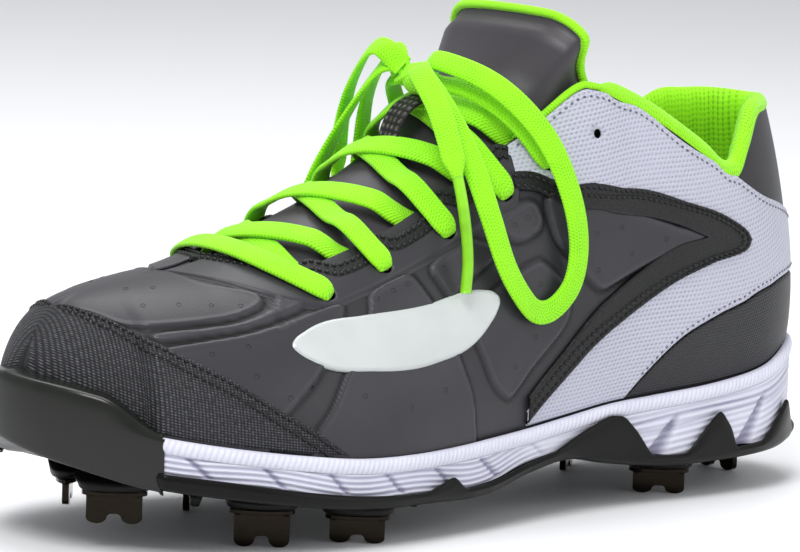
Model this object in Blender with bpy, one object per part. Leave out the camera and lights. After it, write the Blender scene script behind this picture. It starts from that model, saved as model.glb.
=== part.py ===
"""Baseball cleat with metal spikes, left shoe, at its real size.

Lengths are in metres. While it is built, X runs from the back of the heel (0) to the tip of the
toe (LENGTH), +Y is the outer side of the left foot and Z is up from the floor that the spikes
stand on. The last step moves everything so that the origin is under the middle of the shoe.
"""

import math

import bmesh
import bpy
from mathutils import Matrix, Vector

MM = 0.001

# Driving sizes of the whole shoe
LENGTH = 294.5 * MM
BALL_WIDTH = 104 * MM
HEEL_WIDTH = 74 * MM
SPIKE_HEIGHT = 11 * MM  # floor to the underside of the plate at the ball
SOLE_RISE = 33 * MM  # plate underside to the edge of the midsole at the heel
UPPER_RISE = 100 * MM  # unit for how far the last rises over the edge of the midsole

# Thicknesses and clearances
GAP = 0.35 * MM
SEAT = 0.75 * MM  # between the upper's outer face and what is sewn on it
WALL = 2.0 * MM  # upper
OVERLAY = 0.9 * MM  # toe rand, saddle, heel counter and side panel
EYESTAY = 1.1 * MM
PLATE_WALL = 1.2 * MM
BUMPER_THICKNESS = 4.2 * MM
MIDSOLE_STEP = 0.7 * MM  # the midsole's top edge stands out by this
RIM = 2.4 * MM  # midsole edge around the foot of the upper
CUP_DEPTH = 5 * MM  # how deep the upper stands in the midsole
INSOLE = 3.5 * MM
LINING = 5.5 * MM
TONGUE_THICKNESS = 8 * MM

# How far the top line of the last stands in from the ends of the sole
HEEL_LEAN = 27 * MM
TOE_SETBACK = 12 * MM

RAND_SEAT = 1.4 * MM  # the same for the toe rand
TONGUE_CLEAR = 1.3 * MM  # between the upper's inner face and the tongue
TONGUE_FLARE = 12 * MM  # how far the flaps of the tongue's top stand away from the foot
TONGUE_FLARE_INNER = 7 * MM
FOOT_INSET = RIM + 1.6 * MM  # from the midsole's side to the foot of the upper
RAND_EDGE_TOP = 0.974  # share of the sole where the rand reaches the top line
BUMPER_START = 0.908  # share of the sole where the toe bumper starts
BUMPER_LAP = 0.012  # share over which it laps the midsole
STEP = 0.004  # for slopes of the curves

# Spikes and the blocks of the plate that hold them
SPIKE_WIDTH = 17.5 * MM
SPIKE_THICKNESS = 2 * MM
FLANGE = 1.2 * MM
BLOCK_HEIGHT = 2.6 * MM
POINT_HEIGHT = 4 * MM

# Laces
LACE_WIDTH = 6.5 * MM
LACE_THICKNESS = 1.8 * MM
LACE_ROUND = 2.2 * MM  # radius of the free lace
EYELET_RADIUS = 2.3 * MM
KNOT_RADIUS = 5 * MM
KNOT_SHARE = 0.482  # place of the knot along the shoe
LACE_CLEAR = 0.6 * MM  # over the edge of the throat
LACE_TUCK = 0.60  # how far out a lace that goes under the edge of the throat is made
LACE_TUCK_FRONT = 0.42  # the same for the first crossing, where the throat narrows
LACE_BOW = 0.050  # how far the crossings bow towards the toe, as a share of LENGTH

# Toe bumper and plate edges
BUMPER_RISE = 9 * MM  # over the edge of the midsole
BUMPER_PROUD = 1.4 * MM
PLATE_LIP = 0.7 * MM
SCALLOP = 0.036  # phase from the middle to the end of a scallop

# Top of the tongue, as shares of the shoe's length
TONGUE_TOP = 0.402
TONGUE_FLANK = 0.352

SIDES = ((1, "outer"), (-1, "inner"))

# Places along the sole that always have a column: the teeth of the plate and the bumper's ends
SOLE_COLUMNS = (0.048, 0.070, 0.112, 0.143, 0.166, 0.192, 0.239, 0.283, 0.311, 0.351, 0.438,
                0.494, 0.565, 0.591, 0.637, BUMPER_START, BUMPER_START + BUMPER_LAP)

COLLAR_END = 0.345
UPPER_COLUMNS = (0.081, 0.112, 0.143, 0.163, 0.183, COLLAR_END, 0.733, 0.756, 0.779)
TOE_COLUMNS = (BUMPER_START, BUMPER_START + BUMPER_LAP, 0.946, RAND_EDGE_TOP)

# Fineness of the meshes
COLUMNS = 28  # from heel to toe on one side
UPPER_ROWS = 7
ACROSS = 2
LACE_STEPS = 9
WELD = 0.01 * MM
BLOCK_SIDES = 8
HOLE_SIDES = 6

# Sole seen from above. share: place along the sole from heel to toe. centre: middle of the sole
# towards the outer side, as a share of BALL_WIDTH. heel and ball: half width, as shares of half of
# HEEL_WIDTH and of half of BALL_WIDTH, added.
SOLE_PLAN = (
    # share, centre, heel, ball
    (0.000, 0.000, 0.00, 0.00),
    (0.031, 0.002, 0.58, 0.00),
    (0.102, 0.008, 0.92, 0.00),
    (0.204, 0.015, 1.00, 0.00),
    (0.326, 0.034, 0.80, 0.10),
    (0.458, 0.056, 0.40, 0.40),
    (0.581, 0.048, 0.12, 0.75),
    (0.693, 0.012, 0.00, 0.97),
    (0.774, -0.016, 0.00, 0.99),
    (0.866, -0.048, 0.00, 0.88),
    (0.947, -0.082, 0.00, 0.66),
    (0.986, -0.103, 0.00, 0.37),
    (1.000, -0.106, 0.00, 0.00),
)

# Sole seen from the side, as shares of SOLE_RISE over the underside of the plate at the ball.
# under: underside of the plate. split: between plate and midsole. edge: top of the midsole's side.
SOLE_SIDE = (
    # share, under, split, edge
    (0.000, 0.13, 0.22, 1.06),
    (0.061, 0.05, 0.15, 0.98),
    (0.112, 0.02, 0.12, 0.85),
    (0.183, 0.00, 0.10, 0.76),
    (0.285, 0.02, 0.12, 0.69),
    (0.346, 0.09, 0.20, 0.65),
    (0.407, 0.18, 0.28, 0.58),
    (0.469, 0.11, 0.21, 0.52),
    (0.530, 0.00, 0.10, 0.49),
    (0.632, 0.00, 0.10, 0.46),
    (0.713, 0.02, 0.14, 0.48),
    (0.774, 0.08, 0.21, 0.54),
    (0.856, 0.18, 0.33, 0.64),
    (0.927, 0.29, 0.43, 0.76),
    (0.972, 0.43, 0.55, 0.88),
    (1.000, 0.60, 0.70, 0.97),
)

# Toothed side wall of the plate: share along the sole, height as a share of SOLE_RISE over the
# underside of the plate at the ball.
PLATE_WAVE = (
    # share, height
    (0.000, 0.12),
    (0.031, 0.10),
    (0.048, 0.12),
    (0.070, 0.50),
    (0.084, 0.40),
    (0.112, 0.20),
    (0.143, 0.04),
    (0.166, 0.10),
    (0.175, 0.32),
    (0.192, 0.50),
    (0.209, 0.38),
    (0.239, 0.12),
    (0.260, 0.05),
    (0.283, 0.07),
    (0.311, 0.38),
    (0.331, 0.54),
    (0.351, 0.56),
    (0.392, 0.44),
    (0.438, 0.27),
    (0.494, 0.02),
    (0.565, 0.02),
    (0.591, 0.23),
    (0.637, 0.10),
)

# Last seen in sections. ridge_y: top line towards the outer side, as a share of BALL_WIDTH.
# ridge_z: top line over the edge of the midsole, as a share of UPPER_RISE. rise: how upright the
# wall starts, as a share of the section's height. bulge: how far it leans out, as a share of
# BALL_WIDTH. reach: how wide the top is, as a share of the half width.
LAST_SECTIONS = (
    # share, ridge_y, ridge_z, rise, bulge, reach
    (0.000, 0.000, 1.040, 0.26, 0.120, 0.00),
    (0.102, 0.000, 1.180, 0.26, 0.050, 0.75),
    (0.204, 0.000, 1.305, 0.28, 0.030, 0.95),
    (0.306, -0.020, 1.387, 0.30, 0.025, 1.10),
    (0.367, -0.030, 1.365, 0.30, 0.025, 1.20),
    (0.428, -0.040, 1.130, 0.34, 0.025, 1.10),
    (0.479, -0.050, 0.992, 0.38, 0.025, 0.90),
    (0.545, -0.060, 0.855, 0.40, 0.025, 0.68),
    (0.621, -0.070, 0.735, 0.42, 0.025, 0.58),
    (0.703, -0.070, 0.625, 0.44, 0.025, 0.56),
    (0.756, -0.070, 0.535, 0.46, 0.022, 0.58),
    (0.811, -0.070, 0.468, 0.48, 0.020, 0.60),
    (0.858, -0.070, 0.430, 0.50, 0.018, 0.60),
    (0.909, -0.078, 0.380, 0.52, 0.016, 0.56),
    (0.950, -0.088, 0.322, 0.54, 0.012, 0.52),
    (0.968, -0.094, 0.285, 0.56, 0.010, 0.48),
    (0.986, -0.100, 0.228, 0.58, 0.008, 0.36),
    (1.000, -0.105, 0.140, 0.60, 0.006, 0.00),
)

# Top edge of the collar over the edge of the midsole, as a share of UPPER_RISE.
COLLAR = (
    # share, height
    (0.000, 0.735),
    (0.041, 0.750),
    (0.081, 0.755),
    (0.112, 0.700),
    (0.143, 0.635),
    (0.163, 0.650),
    (0.183, 0.700),
    (0.224, 0.780),
    (0.275, 0.870),
    (0.326, 0.940),
    (0.367, 0.977),
)

# How far the throat has closed, from 0 at the top of the collar to 1 where its sides meet.
THROAT = (
    # share, closed
    (0.367, 0.00),
    (0.428, 0.13),
    (0.479, 0.18),
    (0.621, 0.18),
    (0.703, 0.23),
    (0.733, 0.37),
    (0.756, 0.57),
    (0.769, 0.76),
    (0.779, 1.00),
)

# Edge between the dark toe rand and the vamp, as climb up the upper's outer face.
RAND_EDGE = (
    # share, climb
    (0.720, 0.060),
    (0.758, 0.138),
    (0.800, 0.225),
    (0.845, 0.338),
    (0.890, 0.444),
    (0.930, 0.588),
    (0.960, 0.775),
    (RAND_EDGE_TOP, 1.000),
)

# Panels of the quarter, as climb: lower edge of the saddle, lower and upper edge of the dark
# quarter that the saddle frames, upper edge of the saddle. Under 0.03 an edge is at the midsole.
QUARTER_LINES = (
    # share, saddle_low, frame_low, frame_high, saddle_high
    (0.000, 0.215, 0.270, 0.270, 0.325),
    (0.045, 0.225, 0.285, 0.285, 0.368),
    (0.089, 0.230, 0.305, 0.305, 0.400),
    (0.125, 0.222, 0.322, 0.330, 0.428),
    (0.144, 0.210, 0.305, 0.350, 0.442),
    (0.187, 0.188, 0.288, 0.375, 0.465),
    (0.242, 0.148, 0.256, 0.388, 0.494),
    (0.298, 0.075, 0.212, 0.402, 0.537),
    (0.334, 0.020, 0.185, 0.418, 0.556),
    (0.361, 0.000, 0.166, 0.448, 0.600),
    (0.402, 0.000, 0.128, 0.488, 0.660),
    (0.437, 0.000, 0.088, 0.555, 0.700),
    (0.462, 0.000, 0.050, 0.595, 0.720),
)

# Plain slanted panel on the quarter, as climb.
SIDE_PANEL = (
    # share, low, high
    (0.500, 0.330, 0.366),
    (0.530, 0.290, 0.398),
    (0.600, 0.272, 0.425),
    (0.680, 0.300, 0.468),
    (0.740, 0.352, 0.496),
    (0.772, 0.425, 0.470),
)

# Lace holes of one side, from the toe upwards.
EYELETS = (
    # share, climb
    (0.709, 0.570),
    (0.632, 0.570),
    (0.547, 0.562),
    (0.473, 0.556),
    (0.422, 0.548),
    (0.361, 0.506),
)
LACED = 5  # how many of them the lace uses

# Metal spikes. across: place as a share of BALL_WIDTH to the outer side of the foot's middle line.
# turn: degrees from the length of the shoe. lift: tip over the floor, as a share of SPIKE_HEIGHT.
SPIKES = (
    # name, share, across, turn, lift
    ("toe_outer", 0.917, 0.120, -40, 0.68),
    ("toe_inner", 0.888, -0.215, 50, 0.68),
    ("ball_outer", 0.784, 0.300, -40, 0.0),
    ("ball_inner", 0.723, -0.270, 50, 0.0),
    ("waist_outer", 0.689, 0.390, -40, 0.0),
    ("waist_inner", 0.632, -0.330, 40, 0.0),
    ("heel_outer", 0.231, 0.235, -40, 0.0),
    ("heel_inner", 0.217, -0.225, 40, 0.0),
    ("heel_rear", 0.066, 0.005, 90, 0.0),
)

# Outline of a spike, in shares of SPIKE_WIDTH and of its height.
SPIKE_OUTLINE = (
    # across, up
    (-0.46, 1.00),
    (-0.46, 0.30),
    (-0.31, 0.00),
    (-0.17, 0.00),
    (-0.07, 0.28),
    (0.07, 0.28),
    (0.17, 0.00),
    (0.31, 0.00),
    (0.46, 0.30),
    (0.46, 1.00),
)

# Small moulded points of the plate.
POINTS = (
    # share, across
    (0.850, 0.240),
    (0.760, 0.060),
    (0.590, 0.300),
    (0.560, 0.020),
    (0.500, 0.260),
    (0.290, -0.170),
    (0.140, 0.200),
)

# Free lace, over the upper's outer face. side: 1 outer, -1 inner. off: distance from the face, in
# millimetres.
LOOP_OUTER = (
    # share, side, climb, off
    (0.472, 1, 0.92, 12.5),
    (0.455, 1, 0.8, 10.6),
    (0.439, 1, 0.688, 8.8),
    (0.424, 1, 0.575, 8),
    (0.411, 1, 0.46, 6.6),
    (0.405, 1, 0.37, 5.4),
    (0.413, 1, 0.31, 4.6),
    (0.434, 1, 0.282, 3.2),
    (0.458, 1, 0.29, 3.1),
    (0.480, 1, 0.338, 4.2),
    (0.499, 1, 0.42, 5.6),
    (0.508, 1, 0.537, 8),
    (0.507, 1, 0.663, 9.5),
    (0.502, 1, 0.8, 10.5),
    (0.492, 1, 0.92, 13),
)
LOOP_INNER = (
    # share, side, climb, off
    (0.486, -1, 0.92, 12),
    (0.505, -1, 0.83, 9.8),
    (0.528, -1, 0.74, 8.4),
    (0.548, -1, 0.64, 7.6),
    (0.560, -1, 0.53, 6.5),
    (0.560, -1, 0.43, 5.5),
    (0.545, -1, 0.355, 5),
    (0.520, -1, 0.34, 5),
    (0.498, -1, 0.39, 5.5),
    (0.484, -1, 0.49, 7.4),
    (0.476, -1, 0.61, 8.8),
    (0.472, -1, 0.75, 10),
    (0.470, -1, 0.92, 13),
)
END_OUTER = (
    # share, side, climb, off
    (0.497, 1, 0.9, 17.5),
    (0.512, 1, 0.8, 16.5),
    (0.528, 1, 0.69, 14.5),
    (0.540, 1, 0.58, 11.5),
    (0.548, 1, 0.48, 8),
    (0.553, 1, 0.405, 4.2),
)
END_INNER = (
    # share, side, climb, off
    (0.478, -1, 0.92, 18),
    (0.486, -1, 0.81, 15),
    (0.492, -1, 0.7, 13.5),
    (0.498, -1, 0.59, 12),
    (0.508, -1, 0.49, 10),
    (0.516, -1, 0.42, 2.4),
)


def phase_of(share):
    """Loop phase of a place along the shoe. Equal steps of phase give round ends."""
    return math.acos(1 - 2 * share) / math.pi


def share_of(phase):
    return (1 - math.cos(math.pi * phase)) / 2


def smooth(table, column):
    """A smooth function of phase through one column of a table."""
    knots = [phase_of(row[0]) for row in table]
    values = [row[column] for row in table]
    steps = [(values[i + 1] - values[i]) / (knots[i + 1] - knots[i]) for i in range(len(knots) - 1)]
    slopes = [steps[0]]
    for i in range(1, len(steps)):
        before = knots[i] - knots[i - 1]
        after = knots[i + 1] - knots[i]
        slopes.append((steps[i - 1] * after + steps[i] * before) / (before + after))
    slopes.append(steps[-1])

    def value(phase):
        i = max(k for k in range(len(knots) - 1) if k == 0 or knots[k] <= phase)
        width = knots[i + 1] - knots[i]
        u = (phase - knots[i]) / width
        return (
            values[i] * (1 + 2 * u) * (1 - u) ** 2
            + slopes[i] * width * u * (1 - u) ** 2
            + values[i + 1] * u * u * (3 - 2 * u)
            + slopes[i + 1] * width * u * u * (u - 1)
        )

    return value


def straight(table, column):
    """A function of phase with straight runs between the rows of a table, and no more past its ends."""
    knots = [phase_of(row[0]) for row in table]
    values = [row[column] for row in table]

    def value(phase):
        if phase <= knots[0]:
            return values[0]
        for i in range(len(knots) - 1):
            if phase <= knots[i + 1]:
                u = (phase - knots[i]) / (knots[i + 1] - knots[i])
                return values[i] + u * (values[i + 1] - values[i])
        return values[-1]

    return value


plan_centre, plan_heel, plan_ball = (smooth(SOLE_PLAN, c) for c in (1, 2, 3))
side_under, side_split, side_edge = (smooth(SOLE_SIDE, c) for c in (1, 2, 3))
wave_height = straight(PLATE_WAVE, 1)
ridge_y, ridge_z, wall_rise, wall_bulge, top_reach = (
    smooth(LAST_SECTIONS, c) for c in range(1, 6)
)
collar_height = smooth(COLLAR, 1)
throat_closed = straight(THROAT, 1)


def level(column, phase):
    """Height over the floor of one line of SOLE_SIDE."""
    return SPIKE_HEIGHT + SOLE_RISE * column(phase)


def half_width(phase):
    return plan_heel(phase) * HEEL_WIDTH / 2 + plan_ball(phase) * BALL_WIDTH / 2


def outline(turn):
    """Point of the sole's outline. turn runs from -1 at the toe, round the inner side to 0 at the
    heel and round the outer side to 1 at the toe."""
    phase = abs(turn)
    side = 1 if turn > 0 else -1
    return Vector((
        share_of(phase) * LENGTH,
        plan_centre(phase) * BALL_WIDTH + side * half_width(phase),
        0,
    ))


def wrap(turn):
    return (turn + 1) % 2 - 1


def outward(turn):
    """Direction straight out of the outline."""
    along = outline(wrap(turn + STEP)) - outline(wrap(turn - STEP))
    return Vector((-along.y, along.x, 0)).normalized()


def bumper_cover(phase):
    """0 where the midsole shows, 1 where the bumper covers it."""
    return min(1, max(0, (share_of(phase) - BUMPER_START) / BUMPER_LAP))


def around(turn, outset, height):
    """Point at a distance outside the midsole's side, at a height over the floor."""
    point = outline(turn) + outward(turn) * (outset - BUMPER_THICKNESS * bumper_cover(abs(turn)))
    point.z = height
    return point


def last(turn, climb):
    """Point of the upper's outer face. climb runs from 0 in the midsole to 1 on the top line."""
    phase = abs(turn)
    side = 1 if turn > 0 else -1
    edge = level(side_edge, phase)
    foot = around(turn, -FOOT_INSET, edge - CUP_DEPTH)
    share = share_of(phase)
    top = Vector((
        LENGTH * share + HEEL_LEAN * (1 - share) ** 4 - TOE_SETBACK * share**4,
        ridge_y(phase) * BALL_WIDTH,
        edge + ridge_z(phase) * UPPER_RISE,
    ))
    height = top.z - foot.z
    lean = outward(turn) * wall_bulge(phase) * BALL_WIDTH
    wall = foot + lean + Vector((0, 0, wall_rise(phase) * height))
    crown = top + lean + Vector((0, side * top_reach(phase) * half_width(phase), 0))
    rest = 1 - climb
    return (
        foot * rest**3
        + wall * 3 * rest * rest * climb
        + crown * 3 * rest * climb * climb
        + top * climb**3
    )


def facing(turn, climb):
    """Direction straight out of the upper's outer face."""
    turn = max(-0.985, min(0.985, turn))
    climb = max(STEP, min(0.97, climb))
    up = last(turn, climb + STEP) - last(turn, climb - STEP)
    along = last(wrap(turn + STEP), climb) - last(wrap(turn - STEP), climb)
    return up.cross(along).normalized()


def climb_to(phase, height, side=1):
    """How far up the outer face reaches a height over the floor."""
    low, high = 0.0, 0.98
    for _ in range(30):
        middle = (low + high) / 2
        if last(side * phase, middle).z < height:
            low = middle
        else:
            high = middle
    return (low + high) / 2


def opening(phase, side=1):
    """Climb of the upper's open edge, along the collar and then the throat."""
    corner = phase_of(COLLAR[-1][0])
    here = min(phase, corner)
    height = level(side_edge, here) + collar_height(here) * UPPER_RISE
    climb = climb_to(here, height, side)
    if phase > corner:
        climb += (1 - climb) * throat_closed(phase)
    return climb

lines = tuple(smooth(QUARTER_LINES, c) for c in (1, 2, 3, 4))
rand_edge = straight(RAND_EDGE, 1)
panel_low, panel_high = (smooth(SIDE_PANEL, c) for c in (1, 2))


class Sheet:
    """A patch of surface: its corners, the directions out of it and its faces."""

    def __init__(self):
        self.points = []
        self.out = []
        self.scale = []
        self.faces = []
        self.known = {}

    def corner(self, point, out, scale=1.0):
        """Number of the corner at a point. Corners at one place are the same corner."""
        key = tuple(round(value / WELD) for value in point)
        if key not in self.known:
            self.known[key] = len(self.points)
            self.points.append(Vector(point))
            self.out.append(Vector((0, 0, 0)))
            self.scale.append(scale)
        number = self.known[key]
        self.out[number] += out
        return number

    def face(self, *corners):
        ring = [c for i, c in enumerate(corners) if c != corners[i - 1]]
        if len(set(ring)) > 2:
            self.faces.append(ring)

    def grid(self, columns):
        """Faces between neighbouring columns of corners, seen from outside."""
        for left, right in zip(columns, columns[1:]):
            for i in range(len(left) - 1):
                self.face(left[i], left[i + 1], right[i + 1], right[i])

    def solid(self, name, inner, outer):
        """The sheet made into a closed body between two distances along its directions."""
        out = [d.normalized() * k for d, k in zip(self.out, self.scale)]
        count = len(self.points)
        points = [p + d * outer for p, d in zip(self.points, out)]
        points += [p + d * inner for p, d in zip(self.points, out)]
        faces = list(self.faces)
        faces += [[count + c for c in reversed(face)] for face in self.faces]
        edges = {(f[i - 1], f[i]) for f in self.faces for i in range(len(f))}
        for a, b in edges:
            if (b, a) not in edges:
                faces.append([b, a, count + a, count + b])
        return make(name, points, faces)


def make(name, points, faces):
    mesh = bpy.data.meshes.new(name)
    mesh.from_pydata([tuple(p) for p in points], [], faces)
    mesh.validate()
    part = bpy.data.objects.new(name, mesh)
    bpy.context.scene.collection.objects.link(part)
    return part


def face_outwards(part):
    mesh = bmesh.new()
    mesh.from_mesh(part.data)
    bmesh.ops.recalc_face_normals(mesh, faces=mesh.faces)
    mesh.to_mesh(part.data)
    mesh.free()


def both_sides(sheet, phases, climbs, offset=None, scale=None, sides=(1, -1)):
    """Lay a grid on the upper's outer face, the same on both sides of the shoe.

    climbs gives a column's rows at a phase. offset moves them off the face, and scale is the
    share of the thickness there.
    """
    for side in sides:
        columns = []
        for phase in phases:
            column = []
            for climb in climbs(phase):
                turn = side * phase
                out = facing(turn, climb)
                point = last(turn, climb)
                if offset and climb < 1:
                    point += out * offset(phase, climb)
                elif offset:
                    middle = (facing(phase, climb) + facing(-phase, climb)).normalized()
                    point += middle * offset(phase, climb)
                column.append(sheet.corner(point, out, scale(phase, climb) if scale else 1.0))
            columns.append(column)
        sheet.grid(columns if side > 0 else columns[::-1])


def spread(low, high, rows):
    return [low + (high - low) * i / rows for i in range(rows + 1)]


def phases_between(first, final, extra=(), steps=COLUMNS):
    """Phases of the columns between two shares, on one common spacing, with extra shares added."""
    start, stop = phase_of(first), phase_of(final)
    wanted = {start, stop} | {phase_of(e) for e in extra if first < e < final}
    plain = [k / steps for k in range(steps + 1)]
    room = 0.3 / steps
    kept = [k for k in plain if start < k < stop and all(abs(k - w) > room for w in wanted)]
    return sorted(wanted | set(kept))


def sole_phases():
    """Columns that plate, midsole and bumper share."""
    return phases_between(0, 1, SOLE_COLUMNS)


def foot_climb(phase):
    """Climb just over the edge of the midsole."""
    return climb_to(phase, level(side_edge, phase) + GAP + 0.1 * MM)


def rings(name, phases, levels):
    """A closed body of stacked outlines. Each level gives outset and height at a phase."""
    turns = [-phase for phase in reversed(phases)] + phases[1:-1]
    sheet = Sheet()
    up = Vector((0, 0, 1))
    stack = []
    for outset, height in levels:
        ring = []
        for turn in turns:
            phase = abs(turn)
            ring.append(sheet.corner(around(turn, outset(phase), height(phase)), up))
        stack.append(ring)
    count = len(turns)
    for lower, upper in zip(stack, stack[1:]):
        for i in range(count):
            k = (i + 1) % count
            sheet.face(lower[i], upper[i], upper[k], lower[k])
    for ring, top in ((stack[0], False), (stack[-1], True)):
        rows = []
        middle = len(phases) - 1
        for step in range(len(phases)):
            inner = ring[middle - step]
            outer = ring[(middle + step) % count]
            a, b = sheet.points[inner], sheet.points[outer]
            row = [sheet.corner(a.lerp(b, k / ACROSS), up) for k in range(ACROSS + 1)]
            rows.append(row)
        for here, there in zip(rows, rows[1:]):
            for k in range(ACROSS):
                quad = (here[k], there[k], there[k + 1], here[k + 1])
                sheet.face(*(quad if top else quad[::-1]))
    return make(name, sheet.points, sheet.faces)


def fixed(value):
    return lambda phase: value


def over(column, extra=0.0):
    return lambda phase: level(column, phase) + extra


def join(part, tools):
    """Fuse closed bodies into a part."""
    combine(part, tools, "UNION")


def combine(part, tools, operation):
    for tool in tools:
        step = part.modifiers.new(operation, "BOOLEAN")
        step.operation = operation
        step.solver = "EXACT"
        step.object = tool
    bpy.context.view_layer.update()
    graph = bpy.context.evaluated_depsgraph_get()
    mesh = bpy.data.meshes.new_from_object(part.evaluated_get(graph))
    part.modifiers.clear()
    part.data = mesh
    face_outwards(part)
    for tool in tools:
        bpy.data.objects.remove(tool)


def block(name, centre, turn, half_length, half_across, bottom, top, taper=1.0, sides=BLOCK_SIDES):
    """An upright block with a many-sided outline, narrower at its bottom by taper."""
    points = []
    outline_points = [
        (math.cos(math.tau * k / sides), math.sin(math.tau * k / sides)) for k in range(sides)
    ]
    for height, k in ((bottom, taper), (top, 1.0)):
        for x, y in outline_points:
            spot = Matrix.Rotation(math.radians(turn), 3, "Z") @ Vector((
                x * half_length * k, y * half_across * k, 0
            ))
            points.append(Vector((centre.x, centre.y, height)) + spot)
    count = sides
    faces = [list(range(count))[::-1], list(range(count, 2 * count))]
    faces += [[i, (i + 1) % count, count + (i + 1) % count, count + i] for i in range(count)]
    return make(name, points, faces)


def under_foot(share, across):
    """Point of the plate's underside."""
    phase = phase_of(share)
    height = level(side_under, phase)
    return Vector((share * LENGTH, across * BALL_WIDTH, height))


def spike(name, share, across, turn, lift):
    """Metal spike with two round lobes and the flange that it is riveted by."""
    spot = under_foot(share, across)
    top = spot.z - BLOCK_HEIGHT - GAP
    tip = lift * SPIKE_HEIGHT
    points = []
    for half in (-0.5, 0.5):
        for across_blade, up in SPIKE_OUTLINE:
            points.append(Vector((
                across_blade * SPIKE_WIDTH,
                half * SPIKE_THICKNESS,
                tip + up * (top - FLANGE / 2 - tip),
            )))
    count = len(SPIKE_OUTLINE)
    faces = [list(range(count))[::-1], list(range(count, 2 * count))]
    faces += [[i, (i + 1) % count, count + (i + 1) % count, count + i] for i in range(count)]
    blade = make(name, points, faces)
    flange = block(
        "flange", Vector((0, 0, 0)), 0, SPIKE_WIDTH * 0.54, SPIKE_THICKNESS * 1.8, top - FLANGE, top
    )
    join(blade, [flange])
    blade.data.transform(
        Matrix.Translation((spot.x, spot.y, 0)) @ Matrix.Rotation(math.radians(turn), 4, "Z")
    )
    return blade


def outsole():
    """Plate with its toothed side wall, the blocks that hold the spikes, and small points."""
    phases = sole_phases()

    def crest(phase):
        low = level(side_split, phase) + PLATE_LIP
        return max(low, level(wave_height, phase)) if share_of(phase) < PLATE_WAVE[-1][0] else low

    plate = rings("outsole_plate", phases, (
        (fixed(-3 * MM), over(side_under)),
        (fixed(GAP + PLATE_WALL), over(side_under, 2.2 * MM)),
        (fixed(GAP + PLATE_WALL), crest),
        (fixed(GAP), crest),
        (fixed(GAP), over(side_split)),
    ))
    blocks = []
    for name, share, across, turn, lift in SPIKES:
        spot = under_foot(share, across)
        blocks.append(block(
            name, spot, turn, SPIKE_WIDTH * 0.68, SPIKE_WIDTH * 0.34,
            spot.z - BLOCK_HEIGHT, spot.z + 2 * MM, 0.86,
        ))
    for share, across in POINTS:
        spot = under_foot(share, across)
        blocks.append(block(
            "point", spot, 45, 3.2 * MM, 3.2 * MM, spot.z - POINT_HEIGHT, spot.z + 2 * MM, 0.4, 5,
        ))
    join(plate, blocks)
    return plate


def midsole():
    phases = sole_phases()
    floor = -CUP_DEPTH - GAP
    return rings("midsole", phases, (
        (fixed(-1.6 * MM), over(side_split, GAP)),
        (fixed(-MIDSOLE_STEP), over(side_split, GAP + 1.5 * MM)),
        (fixed(-MIDSOLE_STEP), over(side_edge, -4 * MM)),
        (fixed(0), over(side_edge, -3.2 * MM)),
        (fixed(0), over(side_edge)),
        (fixed(-RIM), over(side_edge)),
        (fixed(-RIM), over(side_edge, floor)),
    ))


def insole():
    floor = -CUP_DEPTH
    inset = -FOOT_INSET - WALL - 2.2 * MM
    return rings("insole", phases_between(0, 1, steps=18), (
        (fixed(inset), over(side_edge, floor)),
        (fixed(inset), over(side_edge, floor + INSOLE)),
    ))


def bumper():
    """Rubber cap round the toe, lapping the midsole and the foot of the upper."""
    sheet = Sheet()
    phases = [phase for phase in sole_phases() if phase >= phase_of(BUMPER_START) - 1e-9]
    clear = RAND_SEAT + OVERLAY + GAP + 0.6 * MM
    turns = phases + [-phase for phase in reversed(phases[:-1])]
    columns = []
    for turn in turns:
        phase = abs(turn)
        cover = bumper_cover(phase)
        edge = level(side_edge, phase)
        bottom = level(side_split, phase) + PLATE_LIP + GAP
        rise = (1.5 + (BUMPER_RISE / MM - 1.5) * smooth_step(cover_of(phase))) * MM
        seat = climb_to(phase, edge + 0.8 * MM, 1 if turn > 0 else -1)
        top = climb_to(phase, edge + rise, 1 if turn > 0 else -1)
        proud = BUMPER_PROUD + BUMPER_THICKNESS * cover
        out = facing(turn, seat)
        out_top = facing(turn, top)
        seat_point = last(turn, seat) + out * clear
        seat_point.z = max(seat_point.z, edge + GAP + 0.15 * MM)
        inside = [
            around(turn, GAP, bottom),
            around(turn, GAP, edge + GAP),
            seat_point,
            last(turn, top) + out_top * clear,
        ]
        brow = last(turn, top) + out_top * (clear + 2.2 * MM)
        outside = [
            brow,
            around(turn, proud - 0.2 * MM, edge + rise - 3 * MM),
            around(turn, proud, (bottom + edge) / 2),
            around(turn, proud - 0.6 * MM, bottom),
        ]
        columns.append([sheet.corner(p, Vector((0, 0, 1))) for p in inside + outside])
    count = len(columns[0])
    for left, right in zip(columns, columns[1:]):
        for i in range(count):
            k = (i + 1) % count
            sheet.face(left[i], right[i], right[k], left[k])
    for column, flip in ((columns[0], 1), (columns[-1], -1)):
        for quad in ((0, 1, 6, 7), (1, 2, 5, 6), (2, 3, 4, 5)):
            sheet.face(*[column[k] for k in quad][::flip])
    return make("toe_bumper", sheet.points, sheet.faces)


def cover_of(phase):
    """0 at the ends of the bumper, 1 where it stands highest."""
    return min(1, max(0, (share_of(phase) - BUMPER_START) / 0.05))


def smooth_step(u):
    return u * u * (3 - 2 * u)


def upper_body():
    sheet = Sheet()
    throat = THROAT[-1][0]
    phases = phases_between(0, 1, UPPER_COLUMNS + TOE_COLUMNS)

    def climbs(phase):
        high = opening(phase) if share_of(phase) < throat - 0.0005 else 1.0
        return spread(0, high, UPPER_ROWS)

    both_sides(sheet, phases, climbs)
    return sheet.solid("upper", -WALL, 0)


def toe_rand():
    sheet = Sheet()
    phases = phases_between(RAND_EDGE[0][0] + 0.01, 1, TOE_COLUMNS)
    both_sides(sheet, phases, lambda phase: spread(foot_climb(phase), rand_edge(phase), 7))
    return sheet.solid("toe_rand", RAND_SEAT, RAND_SEAT + OVERLAY)


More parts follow.
